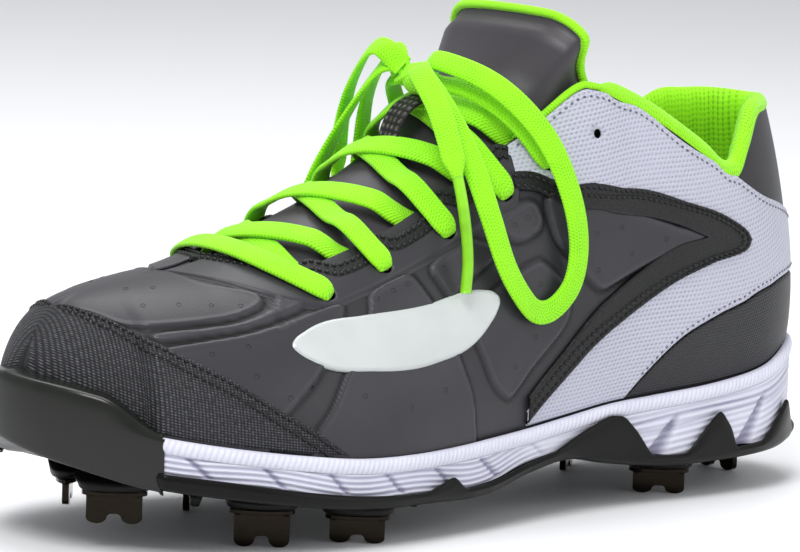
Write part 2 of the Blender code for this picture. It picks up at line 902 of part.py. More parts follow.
def edge_of_saddle(phase):
    """The four lines of the quarter at a phase."""
    low, frame_low, frame_high, high = (line(phase) for line in lines)
    if share_of(phase) < QUARTER_LINES[3][0]:
        frame_low = frame_high = (frame_low + frame_high) / 2
    high = min(high, opening(phase) - 0.006)
    return max(low, foot_climb(phase)), frame_low, frame_high, high


def saddle():
    """Light panel from the midfoot round the back of the heel, open round the dark quarter."""
    sheet = Sheet()
    phases = phases_between(0, QUARTER_LINES[-1][0], [row[0] for row in QUARTER_LINES[3:]])

    def below(phase):
        low, frame_low = edge_of_saddle(phase)[:2]
        return spread(low, frame_low, 2)

    def above(phase):
        frame_high, high = edge_of_saddle(phase)[2:]
        return spread(frame_high, high, 2)

    both_sides(sheet, phases, below)
    both_sides(sheet, phases, above)
    return sheet.solid("saddle", SEAT, SEAT + OVERLAY)


def quarter_frame(side, word):
    """Dark textured border between the saddle and the quarter."""
    sheet = Sheet()
    tip = 0.160
    inner_tip = 0.200
    phases = phases_between(tip, QUARTER_LINES[-1][0], (inner_tip, 0.242, 0.298, 0.361, 0.402))
    seam = 0.009

    def edges(phase):
        low, high = edge_of_saddle(phase)[1:3]
        low, high = low + seam, high - seam
        middle = (low + high) / 2
        near_tip = share_of(phase) <= inner_tip + 0.0005
        low_in = middle if near_tip else min(middle, low + 0.055)
        high_in = middle if near_tip else max(middle, high - 0.036)
        return low, low_in, high_in, high

    both_sides(sheet, phases, lambda phase: spread(*edges(phase)[:2], 1), sides=(side,))
    both_sides(sheet, phases, lambda phase: spread(*edges(phase)[2:], 1), sides=(side,))
    return sheet.solid("quarter_frame_" + word, SEAT, SEAT + OVERLAY)


def heel_counter():
    sheet = Sheet()
    phases = phases_between(0, 0.325, (0.298,))
    both_sides(sheet, phases, lambda phase: spread(
        foot_climb(phase), max(foot_climb(phase) + 0.006, edge_of_saddle(phase)[0] - 0.008), 2
    ))
    return sheet.solid("heel_counter", SEAT, SEAT + OVERLAY)


def side_panel(side, word):
    """Plain light panel on one side of the quarter."""
    sheet = Sheet()
    phases = phases_between(SIDE_PANEL[0][0], SIDE_PANEL[-1][0], [row[0] for row in SIDE_PANEL[1:-1]])
    both_sides(
        sheet, phases, lambda phase: spread(panel_low(phase), panel_high(phase), 2), sides=(side,)
    )
    return sheet.solid("side_panel_" + word, SEAT, SEAT + OVERLAY)


def eyestay():
    """Band round the throat, scalloped towards the tongue at each lace hole."""
    sheet = Sheet()
    throat = THROAT[-1][0]
    start = 0.470
    front = 0.806
    phases = phases_between(start, front, (throat,), steps=80)
    holes = [phase_of(row[0]) for row in EYELETS]

    def climbs(phase):
        share = share_of(phase)
        near = min(abs(phase - hole) for hole in holes)
        wave = 0.5 + 0.5 * math.cos(math.pi * min(1, near / (SCALLOP / 2)))
        inner = 1.0 if share >= throat - 0.0005 else min(1, opening(phase) + 0.012 + 0.035 * wave)
        ahead = max(0, (share - 0.70) / (front - 0.70))
        outer = 0.520 + 0.47 * ahead**1.7
        return spread(outer, max(inner, outer + 0.01), 2)

    both_sides(sheet, phases, climbs)
    return sheet.solid("eyestay", SEAT, SEAT + EYESTAY)


def lace_holes(parts):
    for part, rows in parts:
        tools = []
        for share, climb in rows:
            for side in (1, -1):
                turn = side * phase_of(share)
                centre = last(turn, climb)
                out = facing(turn, climb)
                hole = block("hole", Vector((0, 0, 0)), 0, EYELET_RADIUS, EYELET_RADIUS,
                             -4 * WALL, 4 * WALL, sides=HOLE_SIDES)
                hole.data.transform(
                    Matrix.Translation(centre) @ out.to_track_quat("Z", "Y").to_matrix().to_4x4()
                )
                tools.append(hole)
        combine(part, tools, "DIFFERENCE")


def stand_away(climb):
    """How far the tongue stands away from the foot: most between its middle and its flank."""
    low, high = (climb - 0.60) / 0.15, (1 - climb) / 0.12
    return smooth_step(min(1, max(0, low))) * smooth_step(min(1, max(0, high)))


def tongue():
    """Padded tongue on the same form as the upper, inside it, standing up out of the throat."""
    sheet = Sheet()
    rows = spread(0.50, 1.0, 6)
    length = 11

    def front(climb):
        return 0.825

    def back(climb):
        return TONGUE_TOP + (TONGUE_FLANK - TONGUE_TOP) * min(1, (1 - climb) / 0.42) ** 1.8

    for side, flare in ((1, TONGUE_FLARE), (-1, -TONGUE_FLARE_INNER)):
        columns = []
        for i in range(length + 1):
            near_back = max(0, 1 - 0.65 * i) * flare
            column = []
            for climb in rows:
                share = back(climb) + (front(climb) - back(climb)) * (i / length)
                phase = phase_of(share)
                out = facing(side * phase, climb)
                if climb == 1:
                    out = (facing(phase, climb) + facing(-phase, climb)).normalized()
                clear = TONGUE_CLEAR * (1 + 0.7 * smooth_step(min(1, max(0, (share - 0.71) / 0.04))))
                point = last(side * phase, climb) - out * (WALL + clear)
                point.y += near_back * stand_away(climb)
                pad = 0.45 + 0.55 * smooth_step(min(1, max(0, (0.56 - share) / 0.12)))
                if i == 0:
                    pad *= 0.6
                column.append(sheet.corner(point, out, pad))
            columns.append(column)
        sheet.grid(columns if side > 0 else columns[::-1])
    return sheet.solid("tongue", -TONGUE_THICKNESS, 0)


def tongue_loop():
    """Webbing loop on the tongue that keeps the lace in the middle."""
    sheet = Sheet()
    phases = phases_between(0.516, 0.538, steps=96)
    both_sides(sheet, phases, lambda phase: spread(0.93, 1.0, 2))
    base = -(WALL + TONGUE_CLEAR)
    return sheet.solid("tongue_loop", base + GAP, base + GAP + 1.2 * MM)


def collar_pad():
    """Padded lining of the collar, standing a little over the upper's edge."""
    sheet = Sheet()
    phases = phases_between(0, COLLAR_END, UPPER_COLUMNS)

    def climbs(phase):
        high = opening(phase)
        return [high - 0.24, high - 0.14, high - 0.03, high + 0.016]

    def offset(phase, climb):
        return -(WALL + GAP)

    def scale(phase, climb):
        up = (climb - opening(phase) + 0.24) / 0.256
        return (0.45, 0.9, 1.0, 0.6)[min(3, round(up * 3.2))]

    both_sides(sheet, phases, climbs, offset, scale)
    return sheet.solid("collar_pad", -LINING, 0)


def across_throat(share, climb, side, height):
    """Point and direction out over the throat. side runs from 1 at an outer lace hole to -1."""
    phase = phase_of(share)
    turn = phase if side >= 0 else -phase
    up = 1 - (1 - climb) * abs(side)
    out = facing(turn, up)
    other = facing(-turn, up)
    blend = 0.5 * max(0, 1 - abs(side) / 0.12)
    out = (out * (1 - blend) + other * blend).normalized()
    return last(turn, up) + out * height, out


def strap(name, stations):
    """Flat lace through points with directions out."""
    points = []
    for i, (point, out) in enumerate(stations):
        before = stations[max(0, i - 1)][0]
        after = stations[min(len(stations) - 1, i + 1)][0]
        along = (after - before).normalized()
        wide = along.cross(out).normalized()
        thick = wide.cross(along).normalized()
        for a, b in ((-1, -1), (1, -1), (1, 1), (-1, 1)):
            points.append(point + wide * a * LACE_WIDTH / 2 + thick * b * LACE_THICKNESS / 2)
    faces = [[3, 2, 1, 0]]
    for i in range(len(stations) - 1):
        for k in range(4):
            m = (k + 1) % 4
            faces.append([4 * i + k, 4 * i + m, 4 * i + 4 + m, 4 * i + 4 + k])
    end = 4 * (len(stations) - 1)
    faces.append([end, end + 1, end + 2, end + 3])
    body = make(name, points, faces)
    face_outwards(body)
    return body


def crossing(name, low, side, top_start, lift):
    """One lace from hole number low on a side to the next hole on the other side."""
    (share_a, climb_a), (share_b, climb_b) = EYELETS[low], EYELETS[low + 1]
    on_stay = SEAT + EYESTAY + LACE_CLEAR + LACE_THICKNESS / 2
    tuck = LACE_TUCK if top_start else LACE_TUCK_FRONT
    first = 1.0 if top_start else tuck
    stations = []
    for k in range(LACE_STEPS + 1):
        place = first + (-tuck - first) * k / LACE_STEPS
        u = (1 - place) / 2
        share = share_a + (share_b - share_a) * u + LACE_BOW * (1 - place * place)
        climb = climb_a + (climb_b - climb_a) * u
        rise = smooth_step(min(1, max(0, (place - 0.38) / 0.24))) if top_start else 0
        sunk = (1.0 if top_start else 1.6) * MM
        height = lift - sunk + (on_stay + sunk - lift) * rise
        stations.append(across_throat(share, climb, side * place, height))
    return strap(name, stations)


def laces():
    parts = []
    share, climb = EYELETS[0]
    on_stay = SEAT + EYESTAY + LACE_CLEAR + LACE_THICKNESS / 2
    front = []
    for k in range(LACE_STEPS + 1):
        place = 1 - 2 * k / LACE_STEPS
        dip = smooth_step(1 - min(1, abs(place)))
        front.append(across_throat(
            share + 0.055 * (1 - place * place), climb, place, on_stay + dip * 0.6 * MM
        ))
    parts.append(strap("lace_front", front))
    for low in range(LACED - 1):
        under = crossing(f"lace_cross_{low + 1}", low, 1, low > 0, 0)
        upper_lace = crossing("over", low, -1, low > 0, LACE_THICKNESS * 0.65)
        join(under, [upper_lace])
        parts.append(under)
    share, climb = EYELETS[LACED - 1]
    for side, word in SIDES:
        stations = []
        for k in range(6):
            place = 1 - 0.80 * k / 5
            rise = smooth_step((1 - place) / 0.8)
            stations.append(across_throat(
                share + (KNOT_SHARE - share) * (1 - place) / 0.8, climb, side * place,
                on_stay + 3.2 * MM * rise,
            ))
        parts.append(strap(f"lace_tie_{word}", stations))
    return parts


def cord(name, route, radius, closed=False):
    """A round cord on an even curve through its route."""
    curve = bpy.data.curves.new(name, "CURVE")
    curve.dimensions = "3D"
    curve.bevel_depth = radius
    curve.bevel_resolution = 2
    curve.use_fill_caps = True
    points = even(route, 2.8 * 2 * radius)
    line = curve.splines.new("POLY")
    line.points.add(len(points) - 1)
    for spot, point in zip(line.points, points):
        spot.co = (*point, 1)
    part = bpy.data.objects.new(name, curve)
    bpy.context.scene.collection.objects.link(part)
    return part


def even(route, spacing):
    """Points at even distances on a smooth curve through a route."""
    ends = [route[0] * 2 - route[1]] + list(route) + [route[-1] * 2 - route[-2]]
    fine = []
    for i in range(1, len(ends) - 2):
        a, b, c, d = ends[i - 1 : i + 3]
        for k in range(12):
            u = k / 12
            fine.append(
                (b * 2 + (c - a) * u + (a * 2 - b * 5 + c * 4 - d) * u * u
                 + (b * 3 - a - c * 3 + d) * u**3) / 2
            )
    fine.append(route[-1])
    lengths = [0.0]
    for a, b in zip(fine, fine[1:]):
        lengths.append(lengths[-1] + (b - a).length)
    count = max(2, round(lengths[-1] / spacing))
    points = []
    for k in range(count + 1):
        target = lengths[-1] * k / count
        i = max(j for j in range(len(lengths)) if lengths[j] <= target + 1e-9)
        if i == len(fine) - 1:
            points.append(fine[-1])
        else:
            u = (target - lengths[i]) / (lengths[i + 1] - lengths[i])
            points.append(fine[i].lerp(fine[i + 1], u))
    return points


def route_of(rows):
    route = []
    for share, side, climb, off in rows:
        turn = side * phase_of(share)
        route.append(last(turn, climb) + facing(turn, climb) * off * MM)
    return route


def bow():
    knot_phase = phase_of(KNOT_SHARE)
    centre = last(knot_phase, 1) + facing(knot_phase, 1) * 5.8 * MM
    along = Vector((0, 1, 0)) * KNOT_RADIUS
    return [
        cord("lace_knot", [centre - along, centre, centre + along], KNOT_RADIUS),
        cord("lace_loop_outer", route_of(LOOP_OUTER), LACE_ROUND),
        cord("lace_loop_inner", route_of(LOOP_INNER), LACE_ROUND),
        cord("lace_end_outer", route_of(END_OUTER), LACE_ROUND),
        cord("lace_end_inner", route_of(END_INNER), LACE_ROUND),
    ]


def paint(part, name, colour, roughness, metal=0.0):
    """Give a part its own plain material."""
    material = bpy.data.materials.new(name)
    material.use_nodes = True
    shader = material.node_tree.nodes["Principled BSDF"]
    shader.inputs["Base Color"].default_value = (*colour, 1)
    shader.inputs["Roughness"].default_value = roughness
    shader.inputs["Metallic"].default_value = metal
    part.data.materials.clear()
    part.data.materials.append(material)


def centre_all(parts, cords):
    """Put the origin on the floor under the middle of the shoe's box."""
    corners = [v.co for part in parts for v in part.data.vertices]
    low = Vector([min(c[i] for c in corners) for i in range(3)])
    high = Vector([max(c[i] for c in corners) for i in range(3)])
    shift = -Vector(((low.x + high.x) / 2, (low.y + high.y) / 2, low.z))
    for part in parts:
        part.data.transform(Matrix.Translation(shift))
        part.data.update()
    for part in cords:
        for spline in part.data.splines:
            for point in spline.points:
                point.co += Vector((*shift, 0))


def main():
    for old in list(bpy.data.objects):
        bpy.data.objects.remove(old)
    plate, mid, inner = outsole(), midsole(), insole()
    cap, body, rand, light = bumper(), upper_body(), toe_rand(), saddle()
    frames = [quarter_frame(side, word) for side, word in SIDES]
    panels = [side_panel(side, word) for side, word in SIDES]
    counter, stay = heel_counter(), eyestay()
    flap, keeper, pad = tongue(), tongue_loop(), collar_pad()
    lace_holes((
        (body, EYELETS),
        (stay, EYELETS[:4]),
        (light, EYELETS[4:]),
    ))
    spikes = [spike("spike_" + row[0], *row[1:]) for row in SPIKES]
    straps = laces()
    cords = bow()
    paint(plate, "moulded_plate", (0.012, 0.012, 0.011), 0.35)
    paint(mid, "midsole_foam", (0.75, 0.75, 0.80), 0.5)
    paint(inner, "insole_fabric", (0.03, 0.03, 0.032), 0.9)
    paint(cap, "bumper_rubber", (0.03, 0.032, 0.028), 0.3)
    paint(body, "upper_leather", (0.062, 0.06, 0.066), 0.45)
    paint(rand, "rand_mesh", (0.04, 0.04, 0.045), 0.6)
    paint(light, "saddle_leather", (0.56, 0.56, 0.66), 0.5)
    for part in frames:
        paint(part, part.name + "_leather", (0.03, 0.03, 0.034), 0.6)
    paint(counter, "counter_leather", (0.035, 0.035, 0.038), 0.5)
    for part in panels:
        paint(part, part.name + "_film", (0.72, 0.75, 0.74), 0.4)
    paint(stay, "eyestay_leather", (0.05, 0.05, 0.054), 0.5)
    paint(flap, "tongue_fabric", (0.055, 0.055, 0.06), 0.85)
    paint(keeper, "loop_webbing", (0.02, 0.02, 0.02), 0.9)
    paint(pad, "lining_mesh", (0.22, 0.72, 0.01), 0.9)
    for part in spikes:
        paint(part, part.name + "_steel", (0.30, 0.28, 0.25), 0.2, 1.0)
    for part in straps + cords:
        paint(part, part.name + "_cord", (0.38, 0.85, 0.02), 0.8)
    solids = [plate, mid, inner, cap, body, rand, light, counter, stay, flap, keeper, pad]
    solids += frames + panels + spikes + straps
    centre_all(solids, cords)


if __name__ == "__main__":
    main()
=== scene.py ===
"""Looks of a low baseball cleat: its moulded upper, sewn overlays, lace, foam sole and metal spikes."""

import math

import bmesh
import bpy
import numpy as np
from bpy.props import FloatProperty, FloatVectorProperty, IntProperty, PointerProperty
from mathutils import Matrix, Vector


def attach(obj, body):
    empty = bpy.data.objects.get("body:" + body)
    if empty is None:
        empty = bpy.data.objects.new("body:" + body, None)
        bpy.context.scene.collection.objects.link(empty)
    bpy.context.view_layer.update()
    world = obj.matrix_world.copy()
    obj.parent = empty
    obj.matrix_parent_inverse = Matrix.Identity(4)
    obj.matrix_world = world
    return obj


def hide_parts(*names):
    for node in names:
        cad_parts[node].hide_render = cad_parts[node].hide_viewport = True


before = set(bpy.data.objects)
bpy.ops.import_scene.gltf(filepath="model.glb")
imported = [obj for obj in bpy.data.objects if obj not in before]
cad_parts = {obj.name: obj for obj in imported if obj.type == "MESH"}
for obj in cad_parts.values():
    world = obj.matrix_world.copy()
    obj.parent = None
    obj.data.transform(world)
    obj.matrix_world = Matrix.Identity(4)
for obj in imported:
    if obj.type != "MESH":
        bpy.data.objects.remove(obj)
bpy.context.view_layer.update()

bl_info = {
    "name": "Baseball cleat",
    "version": (1, 0, 0),
    "blender": (4, 5, 0),
    "location": "3D View > Sidebar > Cleat",
    "description": "Builds the finished surfaces, sewing and lace of a baseball cleat",
    "category": "Object",
}

MM = 0.001

# Sizes that the solids are made from, in metres
LENGTH = 294.5 * MM
BALL_WIDTH = 104 * MM
HEEL_WIDTH = 74 * MM
SPIKE_HEIGHT = 11 * MM
SOLE_RISE = 33 * MM
UPPER_RISE = 100 * MM
BUMPER_THICKNESS = 4.2 * MM
CUP_DEPTH = 5 * MM
FOOT_INSET = 4.0 * MM
HEEL_LEAN = 27 * MM
TOE_SETBACK = 12 * MM
RIM = 2.4 * MM
WALL = 2.0 * MM
STEP = 0.004
BUMPER_START = 0.912
BUMPER_LAP = 0.012
BLOCK_HEIGHT = 2.6 * MM
TONGUE_TOP = 0.402
TONGUE_FLANK = 0.352
TONGUE_FLARE = {1: 12 * MM, -1: 7 * MM}
SPIKE_WIDTH = 17.5 * MM
SPIKE_THICKNESS = 2 * MM
FLANGE = 1.2 * MM
KNOT_SHARE = 0.482
THROAT_FRONT = 0.7785
BAND_BACK = 0.458

# Sewn layers: heights over the upper, how their edges roll down to it, and their thickness
RAND_LIFT = 1.25 * MM
BAND_LIFT = 1.25 * MM
SADDLE_LIFT = 1.05 * MM
FRAME_LIFT = 1.55 * MM
PANEL_LIFT = 1.55 * MM
COUNTER_LIFT = 0.9 * MM
EDGE_LIFT = 0.12 * MM
ROLL = 0.9 * MM
LAYER = 0.5 * MM

# Where the middle of the shoe's box puts the heel end of its middle line
ORIGIN = np.array((-147.175, 0.73, 0.0)) * MM

# Sole from above: share along it, middle, half width by the heel, half width by the ball
SOLE_PLAN = (
    (0.000, 0.000, 0.00, 0.00),
    (0.031, 0.002, 0.58, 0.00),
    (0.102, 0.008, 0.92, 0.00),
    (0.204, 0.015, 1.00, 0.00),
    (0.326, 0.034, 0.80, 0.10),
    (0.458, 0.056, 0.40, 0.40),
    (0.581, 0.048, 0.12, 0.75),
    (0.693, 0.012, 0.00, 0.97),
    (0.774, -0.016, 0.00, 0.99),
    (0.866, -0.048, 0.00, 0.88),
    (0.947, -0.082, 0.00, 0.66),
    (0.986, -0.103, 0.00, 0.37),
    (1.000, -0.106, 0.00, 0.00),
)

# Sole from the side: share, underside of the plate, top of the plate, top of the midsole's side
SOLE_SIDE = (
    (0.000, 0.13, 0.22, 1.06),
    (0.061, 0.05, 0.15, 0.98),
    (0.112, 0.02, 0.12, 0.85),
    (0.183, 0.00, 0.10, 0.76),
    (0.285, 0.02, 0.12, 0.69),
    (0.346, 0.09, 0.20, 0.65),
    (0.407, 0.18, 0.28, 0.58),
    (0.469, 0.11, 0.21, 0.52),
    (0.530, 0.00, 0.10, 0.49),
    (0.632, 0.00, 0.10, 0.46),
    (0.713, 0.02, 0.14, 0.48),
    (0.774, 0.08, 0.21, 0.54),
    (0.856, 0.18, 0.33, 0.64),
    (0.927, 0.29, 0.43, 0.76),
    (0.972, 0.43, 0.55, 0.88),
    (1.000, 0.60, 0.70, 0.97),
)

# Teeth of the plate's side wall: share, height
PLATE_WAVE = (
    (0.000, 0.12),
    (0.031, 0.10),
    (0.048, 0.12),
    (0.070, 0.50),
    (0.084, 0.40),
    (0.112, 0.20),
    (0.143, 0.04),
    (0.166, 0.10),
    (0.175, 0.32),
    (0.192, 0.50),
    (0.209, 0.38),
    (0.239, 0.12),
    (0.260, 0.05),
    (0.283, 0.07),
    (0.311, 0.38),
    (0.331, 0.54),
    (0.351, 0.56),
    (0.392, 0.44),
    (0.438, 0.27),
    (0.494, 0.02),
    (0.565, 0.02),
    (0.591, 0.23),
    (0.637, 0.10),
)

# Sections of the last: share, top line across, top line up, wall's rise, bulge, reach of the top
LAST_SECTIONS = (
    (0.000, 0.000, 1.040, 0.26, 0.120, 0.00),
    (0.102, 0.000, 1.180, 0.26, 0.050, 0.75),
    (0.204, 0.000, 1.305, 0.28, 0.030, 0.95),
    (0.306, -0.020, 1.387, 0.30, 0.025, 1.10),
    (0.367, -0.030, 1.365, 0.30, 0.025, 1.20),
    (0.428, -0.040, 1.130, 0.34, 0.025, 1.10),
    (0.479, -0.050, 0.992, 0.38, 0.025, 0.90),
    (0.545, -0.060, 0.855, 0.40, 0.025, 0.68),
    (0.621, -0.070, 0.735, 0.42, 0.025, 0.58),
    (0.703, -0.070, 0.625, 0.44, 0.025, 0.56),
    (0.756, -0.070, 0.535, 0.46, 0.022, 0.58),
    (0.811, -0.070, 0.468, 0.48, 0.020, 0.60),
    (0.858, -0.070, 0.430, 0.50, 0.018, 0.60),
    (0.909, -0.078, 0.380, 0.52, 0.016, 0.56),
    (0.950, -0.088, 0.322, 0.54, 0.012, 0.52),
    (0.968, -0.094, 0.285, 0.56, 0.010, 0.48),
    (0.986, -0.100, 0.228, 0.58, 0.008, 0.36),
    (1.000, -0.105, 0.140, 0.60, 0.006, 0.00),
)

# Top edge of the collar: share, height over the midsole
COLLAR = (
    (0.000, 0.735),
    (0.041, 0.750),
    (0.081, 0.755),
    (0.112, 0.700),
    (0.143, 0.635),
    (0.163, 0.650),
    (0.183, 0.700),
    (0.224, 0.780),
    (0.275, 0.870),
    (0.326, 0.940),
    (0.367, 0.977),
)

# Throat: share, how far it has closed
THROAT = (
    (0.367, 0.00),
    (0.428, 0.13),
    (0.479, 0.18),
    (0.621, 0.18),
    (0.703, 0.23),
    (0.733, 0.37),
    (0.756, 0.57),
    (0.769, 0.76),
    (0.779, 1.00),
)

# Upper edge of the toe rand: share, climb
RAND_EDGE = (
    (0.720, 0.060),
    (0.758, 0.138),
    (0.800, 0.225),
    (0.845, 0.338),
    (0.890, 0.444),
    (0.930, 0.588),
    (0.960, 0.775),
    (0.974, 1.000),
)

# Panels of the quarter: share, saddle low, frame low, frame high, saddle high
QUARTER_LINES = (
    (0.000, 0.215, 0.270, 0.270, 0.325),
    (0.045, 0.225, 0.285, 0.285, 0.368),
    (0.089, 0.230, 0.305, 0.305, 0.400),
    (0.125, 0.222, 0.322, 0.330, 0.428),
    (0.144, 0.210, 0.305, 0.350, 0.442),
    (0.187, 0.188, 0.288, 0.375, 0.465),
    (0.242, 0.148, 0.256, 0.388, 0.494),
    (0.298, 0.075, 0.212, 0.402, 0.537),
    (0.334, 0.020, 0.185, 0.410, 0.556),
    (0.361, 0.000, 0.166, 0.427, 0.600),
    (0.402, 0.000, 0.128, 0.474, 0.660),
    (0.437, 0.000, 0.088, 0.555, 0.700),
    (0.462, 0.000, 0.050, 0.595, 0.720),
)
QUARTER_FRONT = QUARTER_LINES[-1][0]

# Plain slanted panel on the quarter: share, low, high
SIDE_PANEL = (
    (0.500, 0.330, 0.366),
    (0.530, 0.290, 0.398),
    (0.600, 0.272, 0.425),
    (0.680, 0.300, 0.468),
    (0.740, 0.352, 0.496),
    (0.772, 0.425, 0.470),
)

# Lace holes of one side from the toe upwards: share, climb
EYELETS = (
    (0.709, 0.570),
    (0.632, 0.570),
    (0.547, 0.562),
    (0.473, 0.556),
    (0.422, 0.548),
    (0.361, 0.506),
)
LACED = 5

# Spikes: name, share, place across, turn in degrees, tip over the floor
SPIKES = (
    ("toe_outer", 0.917, 0.120, -40, 0.68),
    ("toe_inner", 0.888, -0.215, 50, 0.68),
    ("ball_outer", 0.784, 0.300, -40, 0.0),
    ("ball_inner", 0.723, -0.270, 50, 0.0),
    ("waist_outer", 0.689, 0.390, -40, 0.0),
    ("waist_inner", 0.632, -0.330, 40, 0.0),
    ("heel_outer", 0.231, 0.235, -40, 0.0),
    ("heel_inner", 0.217, -0.225, 40, 0.0),
    ("heel_rear", 0.066, 0.005, 90, 0.0),
)

# Small moulded points of the plate: share, place across
POINTS = (
    (0.850, 0.240),
    (0.760, 0.060),
    (0.590, 0.300),
    (0.560, 0.020),
    (0.500, 0.260),
    (0.290, -0.170),
    (0.140, 0.200),
)

# Free lace: share, side, climb, millimetres over the upper's face
LOOP_OUTER = (
    (0.472, 1, 0.92, 12.5),
    (0.455, 1, 0.8, 10.6),
    (0.439, 1, 0.688, 8.8),
    (0.424, 1, 0.575, 8),
    (0.411, 1, 0.46, 6.6),
    (0.405, 1, 0.37, 5.4),
    (0.413, 1, 0.31, 4.6),
    (0.434, 1, 0.282, 3.2),
    (0.458, 1, 0.29, 3.1),
    (0.480, 1, 0.338, 4.2),
    (0.499, 1, 0.42, 5.6),
    (0.508, 1, 0.537, 8),
    (0.507, 1, 0.663, 9.5),
    (0.502, 1, 0.8, 10.5),
    (0.492, 1, 0.92, 13),
)
LOOP_INNER = (
    (0.486, -1, 0.92, 12),
    (0.505, -1, 0.83, 9.8),
    (0.528, -1, 0.74, 8.4),
    (0.548, -1, 0.64, 7.6),
    (0.560, -1, 0.53, 6.5),
    (0.560, -1, 0.43, 5.5),
    (0.545, -1, 0.355, 5),
    (0.520, -1, 0.34, 5),
    (0.498, -1, 0.39, 5.5),
    (0.484, -1, 0.49, 7.4),
    (0.476, -1, 0.61, 8.8),
    (0.472, -1, 0.75, 10),
    (0.470, -1, 0.92, 13),
)
END_OUTER = (
    (0.497, 1, 0.9, 17.5),
    (0.512, 1, 0.8, 16.5),
    (0.528, 1, 0.69, 14.5),
    (0.540, 1, 0.58, 11.5),
    (0.548, 1, 0.48, 8),
    (0.553, 1, 0.405, 4.2),
)
END_INNER = (
    (0.478, -1, 0.92, 18),
    (0.486, -1, 0.81, 15),
    (0.492, -1, 0.7, 13.5),
    (0.498, -1, 0.59, 12),
    (0.508, -1, 0.49, 10),
    (0.516, -1, 0.42, 2.4),
)

# Raised plates moulded into the upper: outlines as share, climb
PLATES = (
    (
        (0.996, 1.05), (0.973, 0.86), (0.938, 0.60), (0.905, 0.585), (0.870, 0.585), (0.831, 0.595),
        (0.800, 0.612), (0.783, 0.628), (0.776, 0.655), (0.780, 0.695), (0.800, 0.75),
        (0.831, 0.838), (0.843, 1.05),
    ),
    (
        (0.915, 0.560), (0.909, 0.500), (0.880, 0.512), (0.837, 0.536), (0.806, 0.550),
        (0.768, 0.562), (0.741, 0.567), (0.727, 0.600), (0.742, 0.660), (0.762, 0.722),
        (0.775, 0.735), (0.765, 0.680), (0.764, 0.640), (0.775, 0.608), (0.800, 0.592),
        (0.831, 0.576), (0.870, 0.566),
    ),
    (
        (0.905, 0.480), (0.880, 0.495), (0.837, 0.518), (0.806, 0.532), (0.768, 0.544),
        (0.735, 0.545), (0.706, 0.535), (0.694, 0.520), (0.699, 0.490), (0.714, 0.440),
        (0.724, 0.405), (0.744, 0.345), (0.759, 0.300), (0.779, 0.250), (0.799, 0.190),
        (0.812, 0.100), (0.822, -0.10), (0.980, -0.10), (0.980, 0.300),
    ),
    (
        (0.662, 0.515), (0.652, 0.527), (0.632, 0.530), (0.611, 0.527), (0.602, 0.513),
        (0.593, 0.460), (0.580, 0.388), (0.567, 0.300), (0.560, 0.240), (0.547, 0.160),
        (0.542, 0.030), (0.540, -0.10), (0.778, -0.10), (0.767, 0.130), (0.742, 0.210),
        (0.722, 0.300), (0.707, 0.350), (0.688, 0.400), (0.675, 0.440), (0.665, 0.480),
    ),
    (
        (0.584, 0.520), (0.533, 0.518), (0.516, 0.505), (0.486, 0.446), (0.524, 0.430),
        (0.563, 0.404), (0.569, 0.430),
    ),
    (
        (0.553, 0.352), (0.510, 0.372), (0.448, 0.388), (0.436, 0.372), (0.388, 0.246),
        (0.453, 0.180), (0.484, 0.122), (0.496, 0.122), (0.518, 0.170), (0.530, 0.240),
    ),
    (
        (0.494, 0.515), (0.461, 0.520), (0.441, 0.503), (0.434, 0.450), (0.440, 0.432),
        (0.474, 0.440),
    ),
    (
        (0.430, 0.500), (0.400, 0.452), (0.345, 0.386), (0.273, 0.350), (0.210, 0.338),
        (0.203, 0.330), (0.210, 0.320), (0.273, 0.287), (0.345, 0.252), (0.360, 0.252),
        (0.372, 0.270), (0.391, 0.310), (0.418, 0.385), (0.426, 0.440),
    ),
)

# Pin holes that let air in: share, climb
PINHOLES = (
    (0.905, 0.725), (0.870, 0.700), (0.837, 0.675), (0.806, 0.650), (0.819, 0.470), (0.859, 0.440),
    (0.819, 0.350), (0.761, 0.300), (0.788, 0.265), (0.722, 0.480), (0.655, 0.495), (0.632, 0.497),
    (0.612, 0.495), (0.563, 0.485), (0.469, 0.480), (0.453, 0.478), (0.391, 0.400), (0.331, 0.345),
    (0.368, 0.350), (0.266, 0.320), (0.316, 0.300), (0.366, 0.290), (0.445, 0.335), (0.516, 0.312),
    (0.453, 0.235), (0.484, 0.190), (0.700, 0.240), (0.640, 0.180), (0.590, 0.200), (0.880, 0.840),
    (0.905, 0.880),
)


# Form of the shoe, from the same tables and sizes as the solids


def phase_of(share):
    return np.arccos(1 - 2 * np.asarray(share, float)) / math.pi


def share_of(phase):
    return (1 - np.cos(math.pi * np.asarray(phase, float))) / 2


def smooth(table, column):
    """A smooth function of phase through one column of a table."""
    knots = phase_of([row[0] for row in table])
    values = np.array([row[column] for row in table], float)
    gaps = np.diff(knots)
    steps = np.diff(values) / gaps
    middle = (steps[:-1] * gaps[1:] + steps[1:] * gaps[:-1]) / (gaps[:-1] + gaps[1:])
    slopes = np.concatenate(([steps[0]], middle, [steps[-1]]))

    def value(phase):
        phase = np.asarray(phase, float)
        i = np.clip(np.searchsorted(knots, phase, side="right") - 1, 0, len(gaps) - 1)
        width = gaps[i]
        u = (phase - knots[i]) / width
        return (
            values[i] * (1 + 2 * u) * (1 - u) ** 2
            + slopes[i] * width * u * (1 - u) ** 2
            + values[i + 1] * u * u * (3 - 2 * u)
            + slopes[i + 1] * width * u * u * (u - 1)
        )

    return value


def straight(table, column):
    """A function of phase with straight runs between the rows of a table."""
    knots = phase_of([row[0] for row in table])
    values = np.array([row[column] for row in table], float)
    return lambda phase: np.interp(phase, knots, values)


